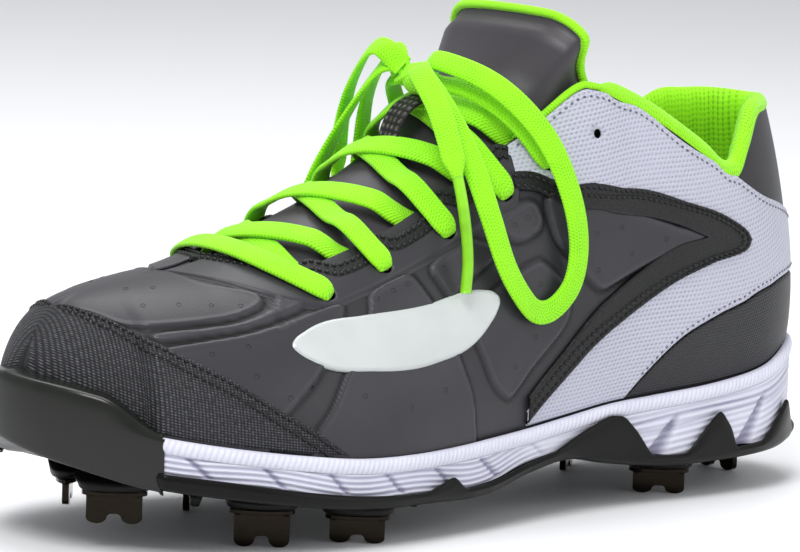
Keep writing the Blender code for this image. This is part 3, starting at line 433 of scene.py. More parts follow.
plan_centre, plan_heel, plan_ball = (smooth(SOLE_PLAN, c) for c in (1, 2, 3))
side_under, side_split, side_edge = (smooth(SOLE_SIDE, c) for c in (1, 2, 3))
wave_height = straight(PLATE_WAVE, 1)
ridge_y, ridge_z, wall_rise, wall_bulge, top_reach = (
    smooth(LAST_SECTIONS, c) for c in range(1, 6)
)
collar_height = smooth(COLLAR, 1)
throat_closed = straight(THROAT, 1)
rand_edge = straight(RAND_EDGE, 1)
quarter = tuple(smooth(QUARTER_LINES, c) for c in (1, 2, 3, 4))
panel_low, panel_high = (smooth(SIDE_PANEL, c) for c in (1, 2))


def ease(u):
    u = np.clip(u, 0, 1)
    return u * u * (3 - 2 * u)


def unit(vectors):
    length = np.linalg.norm(vectors, axis=-1, keepdims=True)
    return vectors / np.maximum(length, 1e-12)


def distances(points):
    """Distance along a line to each of its points."""
    steps = np.linalg.norm(np.diff(points, axis=0), axis=1)
    return np.concatenate([[0], np.cumsum(steps)])


def level(column, phase):
    return SPIKE_HEIGHT + SOLE_RISE * column(phase)


def half_width(phase):
    return plan_heel(phase) * HEEL_WIDTH / 2 + plan_ball(phase) * BALL_WIDTH / 2


def outline(turn):
    """Point of the sole's outline. turn is 0 at the heel and 1 or -1 at the toe."""
    phase = np.abs(turn)
    side = np.where(turn > 0, 1, -1)
    return np.stack(
        [
            share_of(phase) * LENGTH,
            plan_centre(phase) * BALL_WIDTH + side * half_width(phase),
            np.zeros_like(phase),
        ],
        axis=-1,
    )


def wrap(turn):
    return (turn + 1) % 2 - 1


def outward(turn):
    along = outline(wrap(turn + STEP)) - outline(wrap(turn - STEP))
    return unit(np.stack([-along[..., 1], along[..., 0], np.zeros_like(turn)], axis=-1))


def around(turn, outset, height):
    """Points at a distance outside the midsole's side, at a height over the floor."""
    cover = np.clip((share_of(np.abs(turn)) - BUMPER_START) / BUMPER_LAP, 0, 1)
    points = outline(turn) + outward(turn) * (outset - BUMPER_THICKNESS * cover)[..., None]
    points[..., 2] = height
    return points


def sections(turns):
    """Foot, wall, crown and top of the upper's outer face at each turn."""
    turns = np.asarray(turns, float)
    phase = np.abs(turns)
    side = np.where(turns > 0, 1, -1)
    edge = level(side_edge, phase)
    foot = around(turns, np.full_like(turns, -FOOT_INSET), edge - CUP_DEPTH)
    share = share_of(phase)
    top = np.stack(
        [
            LENGTH * share + HEEL_LEAN * (1 - share) ** 4 - TOE_SETBACK * share**4,
            ridge_y(phase) * BALL_WIDTH,
            edge + ridge_z(phase) * UPPER_RISE,
        ],
        axis=-1,
    )
    height = top[:, 2] - foot[:, 2]
    lean = outward(turns) * (wall_bulge(phase) * BALL_WIDTH)[:, None]
    wall = foot + lean
    wall[:, 2] += wall_rise(phase) * height
    crown = top + lean
    crown[:, 1] += side * top_reach(phase) * half_width(phase)
    return np.stack([foot, wall, crown, top], axis=1)


def curve_at(control, climbs):
    c = control[:, None]
    t = climbs[..., None]
    r = 1 - t
    return (
        c[..., 0, :] * r**3
        + c[..., 1, :] * 3 * r * r * t
        + c[..., 2, :] * 3 * r * t * t
        + c[..., 3, :] * t**3
    )


def facing(turns, climbs):
    """Directions straight out of the upper's outer face."""
    safe = np.clip(turns, -0.985, 0.985)
    inner = np.clip(climbs, STEP, 0.97)
    here = sections(safe)
    up = curve_at(here, inner + STEP) - curve_at(here, inner - STEP)
    along = curve_at(sections(wrap(safe + STEP)), inner)
    along = along - curve_at(sections(wrap(safe - STEP)), inner)
    return unit(np.cross(up, along))


def skin(turns, climbs, lift=0.0):
    """Points over the upper's outer face and the directions out of it, in the shoe's frame."""
    turns = np.atleast_1d(np.asarray(turns, float))
    climbs = np.asarray(climbs, float)
    if climbs.ndim == 1:
        climbs = climbs[:, None]
        return tuple(a[:, 0] for a in skin(turns, climbs, np.reshape(lift, (-1, 1))))
    out = facing(turns, climbs)
    blend = 0.5 * ease((climbs - 0.90) / 0.10)[..., None]
    if blend.max() > 0:
        out = unit(out * (1 - blend) + facing(-turns, climbs) * blend)
    points = curve_at(sections(turns), climbs)
    return points + out * np.asarray(lift)[..., None] + ORIGIN, out


def point_on(turn, climb, lift):
    """One point over the upper's outer face and the direction out of it."""
    spot, out = skin([turn], [[climb]], np.array([[lift]]))
    return spot[0, 0], out[0, 0]


def climb_to(phase, height, side=1):
    """How far up the outer face reaches a height over the floor."""
    phase = np.asarray(phase, float)
    control = sections(side * np.maximum(phase, 1e-9))
    low, high = np.zeros_like(phase), np.full_like(phase, 0.98)
    for _ in range(26):
        middle = (low + high) / 2
        under = curve_at(control, middle[:, None])[:, 0, 2] < height
        low, high = np.where(under, middle, low), np.where(under, high, middle)
    return (low + high) / 2


def opening(phase):
    """Climb of the upper's open edge, along the collar and then the throat."""
    phase = np.atleast_1d(np.asarray(phase, float))
    corner = phase_of(COLLAR[-1][0])
    here = np.minimum(phase, corner)
    climb = climb_to(here, level(side_edge, here) + collar_height(here) * UPPER_RISE)
    return np.where(phase > corner, climb + (1 - climb) * throat_closed(phase), climb)


def open_edge(phase):
    """Climb that the upper's cloth reaches: its open edge, and the ridge ahead of the throat."""
    return np.where(share_of(phase) >= THROAT_FRONT, 1.0, opening(phase))


def saddle_top(phase):
    """Climb of the saddle's upper edge, which stays under the upper's open edge."""
    return np.minimum(quarter[3](phase), opening(phase) - 0.004)


def foot_climb(phase):
    """Climb just over the midsole's edge."""
    phase = np.atleast_1d(phase)
    return climb_to(phase, level(side_edge, phase) + 0.3 * MM)


GIRTH_PHASES = np.linspace(0, 1, 120)
_ribs = curve_at(sections(GIRTH_PHASES), np.tile(np.linspace(0, 1, 30), (120, 1)))
GIRTHS = np.linalg.norm(np.diff(_ribs, axis=1), axis=2).sum(axis=1)


def flat(phase, climbs):
    """The upper laid flat: millimetres along it and up it."""
    girth = np.interp(phase, GIRTH_PHASES, GIRTHS)
    along = share_of(phase) * LENGTH / MM
    return np.stack(
        [np.broadcast_to(along[:, None], climbs.shape), climbs * girth[:, None] / MM], axis=-1
    )


def edge_distance(points, polygon):
    """Distance of flat points inside a polygon's edge, less than 0 outside it."""
    x, y = points[..., 0], points[..., 1]
    best = np.full(x.shape, 1e9)
    inside = np.zeros(x.shape, bool)
    for (ax, ay), (bx, by) in zip(polygon, np.roll(polygon, -1, axis=0)):
        dx, dy = bx - ax, by - ay
        u = np.clip(((x - ax) * dx + (y - ay) * dy) / (dx * dx + dy * dy + 1e-12), 0, 1)
        best = np.minimum(best, np.hypot(x - ax - u * dx, y - ay - u * dy))
        crosses = (ay > y) != (by > y)
        with np.errstate(divide="ignore", invalid="ignore"):
            inside ^= crosses & (x < (bx - ax) * (y - ay) / (by - ay) + ax)
    return np.where(inside, best, -best)


def rounded(polygon):
    """A polygon with its corners cut round."""
    points = np.array(polygon, float)
    for _ in range(3):
        after = np.roll(points, -1, axis=0)
        points = np.stack([points * 0.75 + after * 0.25, points * 0.25 + after * 0.75], axis=1)
        points = points.reshape(-1, 2)
    return points


# Meshes


def linear(hex_colour):
    """Linear colour of an sRGB hex value."""
    parts = [int(hex_colour[i : i + 2], 16) / 255 for i in (1, 3, 5)]
    return tuple(p / 12.92 if p <= 0.04045 else ((p + 0.055) / 1.055) ** 2.4 for p in parts)


def piece(name, points, faces, uvs, material, slot, replaces=(), relief=None, smooth_faces=True):
    """A mesh object that rides on the shoe. uvs holds each point's place on the surface laid flat.

    relief holds a tone of painted shade and painted highlight for each point, from 0 in a groove to 1
    on a crest.
    """
    mesh = bpy.data.meshes.new(name)
    mesh.from_pydata(np.asarray(points).tolist(), [], [list(map(int, f)) for f in faces])
    if uvs is not None:
        layer = mesh.uv_layers.new(name="Surface")
        corners = np.empty(len(mesh.loops), int)
        mesh.loops.foreach_get("vertex_index", corners)
        layer.data.foreach_set("uv", np.asarray(uvs, np.float32)[corners].ravel())
    if relief is not None:
        tones = mesh.attributes.new("ReliefShading", "FLOAT", "POINT")
        tones.data.foreach_set("value", np.asarray(relief, np.float32).ravel())
    mesh.validate()
    work = bmesh.new()
    work.from_mesh(mesh)
    bmesh.ops.remove_doubles(work, verts=work.verts, dist=1e-5)
    work.to_mesh(mesh)
    work.free()
    mesh.polygons.foreach_set("use_smooth", [smooth_faces] * len(mesh.polygons))
    made = bpy.data.objects.new(name, mesh)
    bpy.context.scene.collection.objects.link(made)
    mesh.materials.append(material)
    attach(made, "root")
    if replaces:
        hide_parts(*replaces)
    return made


def grid_faces(rows, columns, start=0, flip=False):
    """Quads of a grid of rows times columns points, numbered row by row."""
    i, j = np.meshgrid(np.arange(rows - 1), np.arange(columns - 1), indexing="ij")
    first, after = i * columns + j, (i + 1) * columns + j
    quads = np.stack([first, first + 1, after + 1, after], axis=-1).reshape(-1, 4) + start
    return quads[:, ::-1] if flip else quads


def ring_faces(base, rings, sides):
    """Quads round stacked rings of points that are numbered from base."""
    faces = []
    for low in range(base, base + (rings - 1) * sides, sides):
        for i in range(sides):
            n = (i + 1) % sides
            faces.append((low + i, low + n, low + sides + n, low + sides + i))
    return faces


def both_sides(sheet, flip=False):
    """Points, faces and flat points of a patch on both sides of the shoe.

    sheet gives, for a side, a grid of points and their places on the surface laid flat.
    """
    points, faces, flats, start = [], [], [], 0
    for side in (1, -1):
        spots, laid = sheet(side)
        points.append(spots.reshape(-1, 3))
        flats.append(laid.reshape(-1, 2))
        faces.append(grid_faces(*spots.shape[:2], start, flip=(side < 0) != flip))
        start += len(points[-1])
    return np.concatenate(points), np.concatenate(faces), np.concatenate(flats)


def on_both_sides(phases, climbs, lift):
    """Points, faces and flat points of a patch of the upper, on both sides."""

    def sheet(side):
        return (skin(side * np.maximum(phases, 1e-7), climbs, lift)[0],
                flat(phases, climbs) * (1, side))

    return both_sides(sheet)


def thicken(made, thickness):
    """Gives a sheet a thickness inwards."""
    shell = made.modifiers.new("Thickness", "SOLIDIFY")
    shell.thickness = thickness
    shell.offset = -1.0


def rows_between(low, high, count):
    """Climbs from low to high at each column, closer together near both edges."""
    near = np.array([0.0, 0.004, 0.012, 0.025])
    u = np.unique(np.concatenate([near, np.linspace(0.04, 0.96, count), 1 - near]))
    return low[:, None] + (high - low)[:, None] * u[None]


def roll_down(inwards, height, width):
    """Lift of a panel at a distance inwards from its edge, where it rolls down over a width."""
    near = np.clip(inwards / width, 0, 1)
    return EDGE_LIFT + (height - EDGE_LIFT) * np.sqrt(1 - (1 - near) ** 2)


def rolled(phases, climbs, height, width=ROLL):
    """Lift of a panel whose edges roll down to the skin over a width, but not on the ridge."""
    spots = flat(phases, climbs)[..., 1] * MM
    from_top = np.where(climbs[:, -1:] > 0.985, 1.0, spots[:, -1:] - spots)
    return roll_down(np.minimum(spots - spots[:, :1], from_top), height, width)


def strip_edges(lines, counts):
    """Two lines of share and climb in matching stretches, as even flat lines in millimetres."""
    edges = []
    for line in lines:
        stretches = []
        for rows, count in zip(line, counts):
            rows = np.asarray(rows, float)
            laid = flat(phase_of(rows[:, 0]), rows[:, 1:])[:, 0]
            stretches.append(even_line_count(laid, count)[1 if stretches else 0 :])
        edges.append(np.concatenate(stretches))
    return edges


def unrolled(laid, lift, side):
    """Points and directions on the upper of flat places in millimetres."""
    share = np.clip(laid[..., 0] * MM / LENGTH, 0, 1)
    phase = phase_of(share)
    climb = laid[..., 1] * MM / np.interp(phase, GIRTH_PHASES, GIRTHS)
    lift = np.broadcast_to(lift, share.shape)
    points, outs = skin(side * np.maximum(phase.ravel(), 1e-6), np.minimum(climb.ravel(), 1.0),
                        lift.ravel())
    return points.reshape(*share.shape, 3), outs.reshape(*share.shape, 3)


def flat_strip(edges, across, height, flip, roll=ROLL):
    """A raised strip between two flat lines, on both sides of the shoe, with rolled edges."""
    near = np.array([0.0, 0.01, 0.03, 0.06])
    u = np.unique(np.concatenate([near, np.linspace(0.1, 0.9, across), 1 - near]))
    laid = edges[0][:, None] + (edges[1] - edges[0])[:, None] * u[None, :, None]
    width = np.linalg.norm(edges[0] - edges[1], axis=1)[:, None]
    lift = roll_down(np.minimum(u, 1 - u)[None] * width * MM, height, roll)
    return both_sides(lambda side: (unrolled(laid, lift, side)[0], laid * (1, side)), flip)


def strip_seam(edges, inset, lift, side):
    """A line of stitches' points and directions, inset in millimetres from the first edge."""
    width = np.linalg.norm(edges[0] - edges[1], axis=1)[:, None]
    laid = edges[0] + (edges[1] - edges[0]) * np.minimum(0.9, inset / np.maximum(width, 0.1))
    return unrolled(laid, lift, side)


def punch(points, faces, centres, radius):
    """Round holes in a fine mesh: faces at a centre go, and the rim is moved onto a circle."""
    points = points.copy()
    keep = np.ones(len(faces), bool)
    for centre, out in centres:
        away = points - centre
        along = away @ out
        off = away - along[:, None] * out
        distance = np.linalg.norm(off, axis=1)
        inside = (distance < radius) & (np.abs(along) < 5 * MM)
        gone = inside[faces].any(axis=1)
        rim = np.unique(faces[gone])
        rim = rim[~inside[rim]]
        points[rim] -= off[rim] * (1 - radius / distance[rim])[:, None]
        keep &= ~gone
    return points, faces[keep]


def eyelet_places(rows, lift=1.0 * MM):
    """Centres and directions of lace holes on both sides."""
    return [point_on(side * phase_of(share), climb, lift) for share, climb in rows
            for side in (1, -1)]


def even_line(points, spacing, smoothly=True):
    """Points at even distances along a line. Columns after the third are carried along."""
    points = np.asarray(points, float)
    if smoothly:
        ends = np.vstack([2 * points[0] - points[1], points, 2 * points[-1] - points[-2]])
        fine = []
        for a, b, c, d in zip(ends, ends[1:], ends[2:], ends[3:]):
            for u in np.arange(16) / 16:
                fine.append((2 * b + (c - a) * u + (2 * a - 5 * b + 4 * c - d) * u**2
                             + (3 * b - a - 3 * c + d) * u**3) / 2)
        points = np.array(fine + [points[-1]])
    lengths = distances(points[:, :3])
    count = max(2, int(round(lengths[-1] / spacing)))
    wanted = np.linspace(0, lengths[-1], count + 1)
    return np.stack([np.interp(wanted, lengths, points[:, k]) for k in range(points.shape[1])],
                    axis=-1)


def even_line_count(points, count):
    """A smooth line through points, as a set number of points at even distances."""
    points = np.asarray(points, float)
    fine = even_line(points, distances(points)[-1] / 400)
    picks = np.linspace(0, len(fine) - 1, count)
    return np.stack([np.interp(picks, np.arange(len(fine)), fine[:, k])
                     for k in range(points.shape[1])], axis=-1)


def seam(shares, climbs, lift, side, inset=0.0):
    """A line of points and directions on the upper. inset is in millimetres down its face."""
    shares, climbs = np.asarray(shares, float), np.asarray(climbs, float)
    phases = phase_of(shares)
    girth = np.interp(phases, GIRTH_PHASES, GIRTHS) / MM
    return skin(side * np.maximum(phases, 1e-6), climbs - inset / girth, np.full(len(shares), lift))


def stitch_row(points, outs, pitch, length, radius):
    """Small rounded stitches along a line, each a tapered six-sided bar."""
    line = even_line(np.hstack([points, outs]), pitch, smoothly=False)
    spots, outs = line[:, :3], unit(line[:, 3:])
    along = unit(np.gradient(spots, axis=0))
    across = unit(np.cross(along, outs))
    outs = np.cross(across, along)
    verts, faces = [], []
    angles = np.arange(6) * math.tau / 6
    profile = ((-0.5, 0.35, -0.5), (-0.3, 1.0, 0.1), (0.3, 1.0, 0.1), (0.5, 0.35, -0.5))
    for k in range(len(spots) - 1):
        centre = (spots[k] + spots[k + 1]) / 2
        base = len(verts)
        for place, size, sink in profile:
            for angle in angles:
                verts.append(
                    centre + along[k] * place * length
                    + across[k] * math.cos(angle) * radius * size
                    + outs[k] * (math.sin(angle) * radius * size + sink * radius)
                )
        faces += ring_faces(base, len(profile), 6)
        faces.append(tuple(base + i for i in range(6))[::-1])
        faces.append(tuple(base + 18 + i for i in range(6)))
    return verts, faces


def stitches(name, rows, material, slot, pitch, length, radius):
    """Several rows of stitches as one piece."""
    verts, faces = [], []
    for points, outs in rows:
        more, sides = stitch_row(points, outs, pitch, length, radius)
        faces += [tuple(i + len(verts) for i in f) for f in sides]
        verts += more
    return piece(name, verts, faces, None, material, slot)


def ribbon(points, outs, widths, heights, ring=16):
    """A flat braided lace along points. outs face away from its flat side."""
    points, outs = np.asarray(points, float), unit(np.asarray(outs, float))
    along = unit(np.gradient(points, axis=0))
    across = unit(np.cross(along, outs))
    outs = np.cross(across, along)
    widths = np.broadcast_to(widths, len(points))
    heights = np.broadcast_to(heights, len(points))
    angles = np.arange(ring) * math.tau / ring
    wide = np.sign(np.cos(angles)) * np.abs(np.cos(angles)) ** 0.75
    high = np.sign(np.sin(angles)) * np.abs(np.sin(angles)) ** 0.62
    crown = 1 + 0.10 * np.cos(angles * 2)
    rings = (
        points[:, None]
        + across[:, None] * (wide * crown)[None, :, None] * widths[:, None, None] / 2
        + outs[:, None] * high[None, :, None] * heights[:, None, None] / 2
    )
    lengths = distances(points)
    seamed = np.concatenate([rings, rings[:, :1]], axis=1)
    flats = np.stack([
        np.broadcast_to(lengths[:, None] / MM, seamed.shape[:2]),
        np.concatenate([wide, wide[:1]])[None] * widths[:, None] / 2 / MM,
    ], axis=-1)
    verts = seamed.reshape(-1, 3)
    faces = [tuple(f) for f in grid_faces(len(points), ring + 1)]
    last = (len(points) - 1) * (ring + 1)
    faces.append(tuple(range(ring)))
    faces.append(tuple(last + i for i in range(ring))[::-1])
    return verts, faces, flats.reshape(-1, 2)


def joined(parts):
    """Several meshes as one."""
    verts, faces, flats, start = [], [], [], 0
    for v, f, u in parts:
        verts.append(np.asarray(v))
        flats.append(np.asarray(u))
        faces += [tuple(int(i) + start for i in face) for face in f]
        start += len(v)
    return np.concatenate(verts), faces, np.concatenate(flats)


def rings_body(levels, turns):
    """Points, faces and flat points of stacked outlines. A level is an outset and a height."""
    verts, flats = [], []
    along = distances(outline(turns))
    climb = np.zeros(len(turns))
    before = None
    for outset, height in levels:
        points = around(turns, np.broadcast_to(outset, turns.shape).astype(float), height)
        if before is not None:
            climb = climb + np.linalg.norm(points - before, axis=1)
        before = points
        verts.append(points + ORIGIN)
        flats.append(np.stack([along / MM, climb / MM], axis=-1))
    faces = [(a, d, c, b) for a, b, c, d in ring_faces(0, len(levels), len(turns))]
    return np.concatenate(verts), faces, np.concatenate(flats)


def closed_body(levels, turns):
    """Stacked outlines with faces across the lowest and the highest one."""
    verts, faces, flats = rings_body(levels, turns)
    faces += strip_cap(0, len(turns))
    faces += strip_cap((len(levels) - 1) * len(turns), len(turns), flip=True)
    return verts, faces, flats


def strip_cap(start, count, flip=False):
    """Faces across a loop of points that starts at the heel, from one side to the other."""
    half = count // 2
    faces = []
    for i in range(half - 1):
        a, b = start + i, start + i + 1
        c, d = start + (count - i - 1) % count, start + (count - i) % count
        quad = [q for n, q in enumerate((a, b, c, d)) if q != (a, b, c, d)[n - 1]]
        if len(set(quad)) > 2:
            faces.append(tuple(quad[::-1] if flip else quad))
    return faces


# Materials


def add_node(tree, kind, inputs=None, to=None, stops=None, output=0, **settings):
    """Adds a node with its settings and links. inputs maps sockets to values or to other outputs.

    output names the socket that comes back, and that also goes to the socket in to. stops are the
    places and colours of a colour ramp.
    """
    made = tree.nodes.new(kind)
    for key, value in settings.items():
        setattr(made, key, value)
    for key, value in (inputs or {}).items():
        if isinstance(value, bpy.types.NodeSocket):
            tree.links.new(value, made.inputs[key])
        else:
            made.inputs[key].default_value = value
    for place, (position, colour) in zip(made.color_ramp.elements if stops else (), stops or ()):
        place.position, place.color = position, (*colour, 1)
    if to is not None:
        tree.links.new(made.outputs[output], to)
    return made.outputs[output]


def start_material(name, roughness, metallic=0.0, **sockets):
    """A material, its tree, its shader's sockets, and each point's place on the object."""
    material = bpy.data.materials.new(name)
    material.use_nodes = True
    tree = material.node_tree
    shader = tree.nodes["Principled BSDF"]
    shader.inputs["Roughness"].default_value = roughness
    shader.inputs["Metallic"].default_value = metallic
    for key, value in sockets.items():
        shader.inputs[key.replace("_", " ")].default_value = value
    return material, tree, shader.inputs, add_node(tree, "ShaderNodeTexCoord", output="Object")


def flat_axes(tree):
    """Millimetres along and up the surface laid flat."""
    laid = add_node(tree, "ShaderNodeUVMap", uv_map="Surface")
    return add_node(tree, "ShaderNodeSeparateXYZ", {0: laid}).node.outputs[:2]


def two_waves(tree, rows, operation):
    """Two waves over the surface. rows holds a socket in millimetres and a wave's length twice."""
    waves = []
    for source, length in rows:
        turned = add_node(tree, "ShaderNodeMath", {0: source, 1: math.tau / length},
                          operation="MULTIPLY")
        waves.append(add_node(tree, "ShaderNodeMath", {0: turned}, operation=operation))
    return waves


def clouded(tree, place, base, scale, detail, share):
    """A tone with a share of soft clouds added. scale is the number of clouds in a metre."""
    cloud = add_node(tree, "ShaderNodeTexNoise", {"Vector": place, "Scale": scale, "Detail": detail})
    return add_node(tree, "ShaderNodeMath", {0: cloud, 1: share, 2: base},
                    operation="MULTIPLY_ADD")


def colour_and_press(tree, shader, tone, stops, height, distance, strength):
    """Colours the surface by its tone and gives it a relief."""
    add_node(tree, "ShaderNodeValToRGB", {0: tone}, to=shader["Base Color"], stops=stops)
    add_node(tree, "ShaderNodeBump", {"Height": height, "Distance": distance,
                                      "Strength": strength}, to=shader["Normal"])


def crossed_rows(tree, shader, place, rows, operation, second_share, reach, cloud, stops, press):
    """Raised rows that cross each other, with shade between them.

    reach is the lowest and highest sum of the two waves. cloud ends the arguments of clouded, and
    press is the relief's distance and strength.
    """
    first, second = two_waves(tree, rows, operation)
    both = add_node(tree, "ShaderNodeMath", {0: second, 1: second_share, 2: first},
                    operation="MULTIPLY_ADD")
    height = add_node(tree, "ShaderNodeMapRange", {"Value": both, "From Min": reach[0],
                                                   "From Max": reach[1]})
    colour_and_press(tree, shader, clouded(tree, place, height, *cloud), stops, height, *press)


def shade(colour, factor):
    """A colour made darker or lighter."""
    return tuple(min(1.0, c * factor) for c in colour)


def microfibre(name, colour):
    """Polyurethane-coated microfibre, pressed hot in a mould: a dull even sheen and a faint grain.

    Creases of the mould get painted shade, and raised edges a painted highlight.
    """
    material, tree, shader, place = start_material(name, 0.42, Specular_IOR_Level=0.32)
    # the attribute holds painted shade in creases and a painted highlight on raised edges
    relief = add_node(tree, "ShaderNodeAttribute", output="Fac", attribute_name="ReliefShading")
    toned = clouded(tree, place, relief, 28.0, 4.0, 0.35)
    add_node(tree, "ShaderNodeMapRange", {"Value": toned, "From Min": 0.2, "From Max": 1.0,
                                          "To Min": 0.52, "To Max": 0.28}, to=shader["Roughness"])
    # the real grain is finer, and 0.5 mm across is the least that shows
    grain = add_node(tree, "ShaderNodeTexNoise", {"Vector": place, "Scale": 1 / (0.5 * MM),
                                                  "Detail": 3.0, "Roughness": 0.6})
    # the dark stop is painted shade in creases, and the light stop a painted highlight on raised edges
    colour_and_press(tree, shader, toned, ((0.15, shade(colour, 0.12)), (0.85, shade(colour, 1.5))),
                     grain, 0.0001, 0.45)
    return material


def woven(name, colour, crown_highlight, along, up, roughness, depth, crowns=0.6):
    """Woven nylon: threads over and under each other, with a painted highlight on the crowns of the
    threads.

    along and up are the spacings of the threads in millimetres. Linings and webbing are drawn
    coarser than they are, so that their threads show.
    """
    material, tree, shader, _ = start_material(name, roughness, Specular_IOR_Level=0.3)
    warp, weft = flat_axes(tree)
    waves = two_waves(tree, ((warp, 2 * along), (weft, 2 * up)), "SINE")
    crossed = add_node(tree, "ShaderNodeMath", {0: waves[0], 1: waves[1]}, operation="MULTIPLY")
    height = add_node(tree, "ShaderNodeMath", {0: crossed}, operation="ABSOLUTE")
    laid = add_node(tree, "ShaderNodeUVMap", uv_map="Surface")
    noise = add_node(tree, "ShaderNodeTexNoise", {"Vector": laid, "Scale": 0.9, "Detail": 3.0})
    uneven = add_node(tree, "ShaderNodeMath", {0: height, 1: noise}, operation="MULTIPLY")
    # the crowns of the threads get the lighter colour as a painted highlight
    colour_and_press(tree, shader, uneven, ((crowns * 0.35, colour), (crowns, crown_highlight)), height,
                     depth, 0.9)
    return material


def pressed_rows(name, colour, dark, pitch, roughness):
    """Synthetic leather pressed with small lozenges in slanted rows, with shade between them."""
    material, tree, shader, place = start_material(name, roughness, Specular_IOR_Level=0.35)
    along, up = flat_axes(tree)
    slant = add_node(tree, "ShaderNodeMath", {0: up, 1: 0.6, 2: along}, operation="MULTIPLY_ADD")
    crossed_rows(tree, shader, place, ((up, pitch), (slant, pitch * 1.35)), "SINE", 0.7,
                 (-1.7, 1.0), (35.0, 3.0, 0.5), ((0.1, dark), (0.8, colour)), (0.00025, 0.8))
    return material


def grained(name, colour, cell, roughness, depth):
    """Synthetic leather embossed with small pebbles, with a painted highlight on their tops and painted
    shade between them.
    """
    material, tree, shader, place = start_material(name, roughness, Specular_IOR_Level=0.35)
    pebbles = add_node(tree, "ShaderNodeTexVoronoi", {"Vector": place, "Scale": 1 / (cell * MM)},
                       output="Distance")
    upside = add_node(tree, "ShaderNodeMath", {0: 1.0, 1: pebbles}, operation="SUBTRACT")
    # the light stop is a painted highlight on the pebbles' tops, and the dark stop painted shade
    # between them
    colour_and_press(tree, shader, pebbles, ((0.1, shade(colour, 1.5)), (0.75, shade(colour, 0.6))),
                     upside, depth, 0.8)
    return material


def welded_film(name, colour):
    """Polyurethane film welded onto the upper: smooth, thin and slightly shiny."""
    material, tree, shader, place = start_material(name, 0.30, Coat_Weight=0.25,
                                                   Coat_Roughness=0.2)
    cloud = add_node(tree, "ShaderNodeTexNoise", {"Vector": place, "Scale": 40.0, "Detail": 3.0})
    laid = add_node(tree, "ShaderNodeUVMap", uv_map="Surface")
    fine = add_node(tree, "ShaderNodeTexNoise", {"Vector": laid, "Scale": 2.0, "Detail": 2.0})
    colour_and_press(tree, shader, cloud, ((0.3, shade(colour, 0.86)), (0.7, colour)), fine,
                     0.00008, 0.25)
    return material


def braid(name, colour, dark):
    """Polyester yarns braided flat: bright yarns that slant to the middle from both edges."""
    material, tree, shader, place = start_material(
        name, 0.62, Sheen_Weight=0.15, Sheen_Roughness=0.5, Specular_IOR_Level=0.2
    )
    along, up = flat_axes(tree)
    off = add_node(tree, "ShaderNodeMath", {0: up}, operation="ABSOLUTE")
    slant = add_node(tree, "ShaderNodeMath", {0: off, 1: 0.8, 2: along}, operation="MULTIPLY_ADD")
    # yarns lie 1.1 mm apart along the lace and 0.95 mm apart across it
    crossed_rows(tree, shader, place, ((slant, 1.1), (up, 0.95)), "COSINE", 0.5, (-1.5, 1.3),
                 (90.0, 3.0, 0.8), ((0.15, dark), (0.8, colour)), (0.00022, 0.8))
    return material


def knit(name, colour, light, pitch, roughness):
    """Warp-knitted mesh: small loops in upright rows, with shade in the gaps."""
    material, tree, shader, place = start_material(
        name, roughness, Sheen_Weight=0.15, Specular_IOR_Level=0.2
    )
    along, up = flat_axes(tree)
    crossed_rows(tree, shader, place, ((along, pitch), (up, pitch * 1.6)), "SINE", 0.4,
                 (-1.4, 1.2), (60.0, 4.0, 1.2), ((0.2, colour), (1.0, light)), (0.00025, 0.7))
    return material


def foam(name, colour, dark):
    """EVA foam moulded in a press: matt and faintly mottled, with painted shade in its grooves."""
    material, tree, shader, place = start_material(name, 0.55, Specular_IOR_Level=0.3)
    relief = add_node(tree, "ShaderNodeAttribute", output="Fac", attribute_name="ReliefShading")
    toned = clouded(tree, place, relief, 45.0, 5.0, 0.3)
    # real pores are finer, and 0.4 mm across is the least that shows
    pores = add_node(tree, "ShaderNodeTexNoise", {"Vector": place, "Scale": 1 / (0.4 * MM),
                                                  "Detail": 2.0})
    # the dark stop is painted shade in grooves and recesses
    colour_and_press(tree, shader, toned, ((0.15, dark), (0.75, colour)), pores, 0.00006, 0.4)
    return material


def moulded(name, colour, roughness, coat=0.0, marks=0.3, gloss=0.4):
    """Rubber or plastic from a polished mould: smooth, with faint swirls of flow."""
    material, tree, shader, place = start_material(
        name, roughness, Coat_Weight=coat, Coat_Roughness=0.12, Specular_IOR_Level=gloss
    )
    cloud = add_node(tree, "ShaderNodeTexNoise", {"Vector": place, "Scale": 60.0, "Detail": 5.0,
                                                  "Distortion": 0.6})
    add_node(tree, "ShaderNodeMapRange", {
        "Value": cloud, "From Min": 0.3, "From Max": 0.7, "To Min": roughness * 0.8,
        "To Max": roughness * 1.3,
    }, to=shader["Roughness"])
    fine = add_node(tree, "ShaderNodeTexNoise", {"Vector": place, "Scale": 900.0, "Detail": 3.0})
    colour_and_press(tree, shader, cloud, ((0.3, shade(colour, 0.8)), (0.75, shade(colour, 1.3))),
                     fine, 0.00008, marks)
    return material


def tumbled_steel(name, colour):
    """Steel, stamped and then tumbled with stones: a dark mirror with fine level marks."""
    material, tree, shader, place = start_material(name, 0.14, metallic=1.0)
    # the marks are a third of a millimetre apart, coarser than real ones, so that they show
    drawn = add_node(tree, "ShaderNodeMapping", {"Vector": place, "Scale": (400.0, 400.0, 3000.0)})
    marks = add_node(tree, "ShaderNodeTexNoise", {"Vector": drawn, "Scale": 1.0, "Detail": 4.0})
    add_node(tree, "ShaderNodeMapRange", {"Value": marks, "From Min": 0.3, "From Max": 0.7,
                                          "To Min": 0.07, "To Max": 0.18}, to=shader["Roughness"])
    colour_and_press(tree, shader, marks, ((0.3, shade(colour, 0.85)), (0.7, shade(colour, 1.15))),
                     marks, 0.00003, 0.25)
    return material


